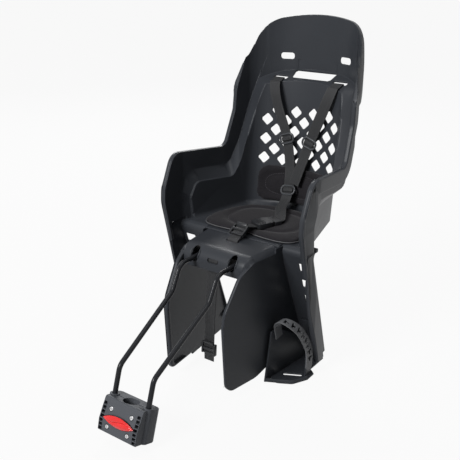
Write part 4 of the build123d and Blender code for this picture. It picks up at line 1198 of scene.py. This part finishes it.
class SEAT_OT_clamp(bpy.types.Operator):
    """Dress the clamp block, its screws and the release button"""

    bl_idname = "childseat.clamp"
    bl_label = "Clamp block"

    def execute(self, context):
        look = context.scene.child_seat.mount
        nylon = moulded_plastic("Glass-filled nylon", look.block, 0.45, 0.25)
        dressed("clamp_front", "clamp_cover", nylon, "clamp_block", "block_plastic", 0.0006, moved=cell_shift)
        dressed("clamp_rear", "clamp_back", nylon, "clamp_block", "block_plastic", 0.0006)
        steel = bpy.data.materials["Zinc screws"]
        slope = Matrix.Rotation(math.radians(-TUBE_TILT), 3, "X")
        sides = (-CLAMP_SCREW_X, CLAMP_SCREW_X)
        places = [slope @ Vector((x, y, z)) * MM for x in sides for y, z in CLAMP_SCREW_YZ]
        seeds = facing_points("clamp_screw_seeds", places, slope @ -BACKWARDS)
        mesh = screw_tree().grow("clamp_screw_set", seeds, steel, reach=0.0415)
        new_piece("clamp_screw_set", mesh, steel, "clamp_block", "steel", "clamp_screws")
        dressed("clamp_nuts", "clamp_nut_set", steel, "clamp_block", "steel", 0.0003)
        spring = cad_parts["button_spring"]
        spring.data.materials.clear()
        spring.data.materials.append(steel)
        red = smooth_plastic("Red button plastic", look.button, 0.14, 0.5)
        mesh = self.button(slope)
        new_piece("release_button_cap", mesh, red, "release_button", "red_plastic", "release_button")
        return {"FINISHED"}

    def button(self, slope, rows=28, columns=64):
        """A leaf-shaped cap, domed and creased along an S, with two pegs behind it."""
        length, height = BUTTON_HALF
        bm = bmesh.new()
        grid = []
        for c in range(columns + 1):
            u = -math.cos(math.pi * c / columns)
            reach = height * (1 - u * u) ** 0.93
            line = []
            for r in range(rows + 1):
                v = -math.cos(math.pi * r / rows)
                crown = BUTTON_DOME * (1 - v * v) ** 0.7 * (1 - u ** 4) ** 0.6
                from_crease = (v - 0.45 * math.sin(2.6 * u)) / 0.2
                crease = BUTTON_CREASE * math.exp(-(from_crease ** 2)) * (1 - u * u) * (1 - v * v)
                place = (u * length, BUTTON_FACE - crown + crease, BUTTON_LEVEL + v * reach)
                line.append(bm.verts.new(slope @ Vector(place) * MM))
            grid.append(line)
        for near, far in zip(grid, grid[1:]):
            for r in range(rows):
                bm.faces.new((near[r], near[r + 1], far[r + 1], far[r]))
        bmesh.ops.remove_doubles(bm, verts=bm.verts, dist=1e-5)
        rim = [e for e in bm.edges if len(e.link_faces) == 1]
        sides = bmesh.ops.extrude_edge_only(bm, edges=rim)
        skirt = [v for v in sides["geom"] if isinstance(v, bmesh.types.BMVert)]
        bmesh.ops.translate(bm, verts=skirt, vec=slope @ Vector((0, BUTTON_WALL * MM, 0)))
        bmesh.ops.contextual_create(bm, geom=[e for e in bm.edges if len(e.link_faces) == 1])
        x, y = BUTTON_PEG
        for hand in (-1, 1):
            place = slope.to_4x4() @ shift(hand * x, y, BUTTON_LEVEL)
            add_block(bm, (0.004, 0.0038, 0.004), place, 0.0004, 2)
        return closed_mesh(bm, "release_button_cap")


def seen_directly(web):
    """1 for camera, glossy and transmission rays, and 0 for all others."""
    rays = web.node("ShaderNodeLightPath", {}, {}, "Is Camera Ray")
    either = rays.maths("MAXIMUM", rays, rays.beside("Is Glossy Ray"))
    return rays.maths("MAXIMUM", either, rays.beside("Is Transmission Ray"))


class SEAT_OT_stage(bpy.types.Operator):
    """Set up the camera, the floor and the lamps"""

    bl_idname = "childseat.stage"
    bl_label = "Stage"

    def execute(self, context):
        look = context.scene.child_seat.stage
        scene = context.scene
        scene.view_settings.view_transform = "Standard"
        camera = bpy.data.objects.new("Camera", bpy.data.cameras.new("Camera"))
        scene.collection.objects.link(camera)
        scene.camera = camera
        camera.data.lens = look.lens
        camera.data.sensor_width = 36.0
        camera.data.clip_end = 200.0
        level = math.cos(CAMERA_RISE)
        across, deep = math.sin(CAMERA_AZIMUTH) * level, math.cos(CAMERA_AZIMUTH) * level
        back = Vector((across, -deep, math.sin(CAMERA_RISE)))
        camera.location = CAMERA_PLACE
        camera.rotation_euler = back.to_track_quat("Z", "Y").to_euler()
        self.floor(CAD_BOX[0][2] - 0.001)
        self.lamp("Key", (-0.6, -3.0, 2.5), (0, 0.4, 0.3), 1.5, look.key)
        self.lamp("Top", (0.3, 0.2, 3.2), (0, 0.45, 0.3), 1.8, look.key * 0.14)
        self.lamp("Back", (-1.8, 2.2, 1.8), (0, 0.5, 0.5), 1.2, look.key * 0.3)
        scene.world = bpy.data.worlds.new("Sky")
        scene.world.use_nodes = True
        web = Web(scene.world.node_tree)
        sky = web.tree.nodes["Background"]
        web.feed(sky.inputs["Color"], (1, 1, 1, 1))
        sockets = {"Value": seen_directly(web), "To Min": look.world, "To Max": 1.0}
        web.feed(sky.inputs["Strength"], web.node("ShaderNodeMapRange", {}, sockets))
        return {"FINISHED"}

    def lamp(self, name, place, target, size, power):
        lamp = bpy.data.lights.new(name, "AREA")
        lamp.shape = "DISK"
        lamp.size = size
        lamp.energy = power
        piece = bpy.data.objects.new(name, lamp)
        bpy.context.scene.collection.objects.link(piece)
        piece.location = place
        piece.rotation_euler = (Vector(place) - Vector(target)).to_track_quat("Z", "Y").to_euler()

    def floor(self, level):
        """A wide floor that is nearly white to the camera and grey to the light that it sends back."""
        bm = bmesh.new()
        bmesh.ops.create_grid(bm, x_segments=1, y_segments=1, size=40.0)
        for v in bm.verts:
            v.co.z = level
        floor = bpy.data.objects.new("Floor", mesh_from(bm, "Floor"))
        bpy.context.scene.collection.objects.link(floor)
        finish = Finish("White floor", base_color=(0.45, 0.45, 0.45, 1), roughness=0.9)
        glow = finish.node("ShaderNodeEmission", {}, {})
        sockets = {0: seen_directly(finish) * 0.93, 1: finish.shader, 2: glow}
        finish.feed(finish.surface, finish.node("ShaderNodeMixShader", {}, sockets))
        floor.data.materials.append(finish.material)


class SEAT_PT_panel(bpy.types.Panel):
    """Lists the settings and the pieces of the seat."""

    bl_idname = "SEAT_PT_panel"
    bl_label = "Child seat"
    bl_space_type = "VIEW_3D"
    bl_region_type = "UI"
    bl_category = "Child seat"

    def draw(self, context):
        settings = context.scene.child_seat
        for group in ("shell", "harness", "pads", "mount", "stage"):
            box = self.layout.box()
            box.label(text=group.title())
            look = getattr(settings, group)
            for name in look.__annotations__:
                box.prop(look, name)
        for operator in OPERATORS:
            self.layout.operator(operator.bl_idname)


OPERATORS = (
    SEAT_OT_shell, SEAT_OT_pads, SEAT_OT_straps, SEAT_OT_fittings, SEAT_OT_foot_straps, SEAT_OT_carrier,
    SEAT_OT_clamp, SEAT_OT_stage,
)
CLASSES = (
    ShellSettings, HarnessSettings, PadSettings, MountSettings, StageSettings, SeatSettings,
    *OPERATORS, SEAT_PT_panel,
)


def register():
    for kind in CLASSES:
        bpy.utils.register_class(kind)
    bpy.types.Scene.child_seat = PointerProperty(type=SeatSettings)


def unregister():
    del bpy.types.Scene.child_seat
    for kind in reversed(CLASSES):
        bpy.utils.unregister_class(kind)


def main():
    register()
    bpy.ops.childseat.stage()
    bpy.ops.childseat.shell()
    bpy.ops.childseat.pads()
    bpy.ops.childseat.straps()
    bpy.ops.childseat.fittings()
    bpy.ops.childseat.foot_straps()
    bpy.ops.childseat.carrier()
    bpy.ops.childseat.clamp()


if __name__ == "__main__":
    main()
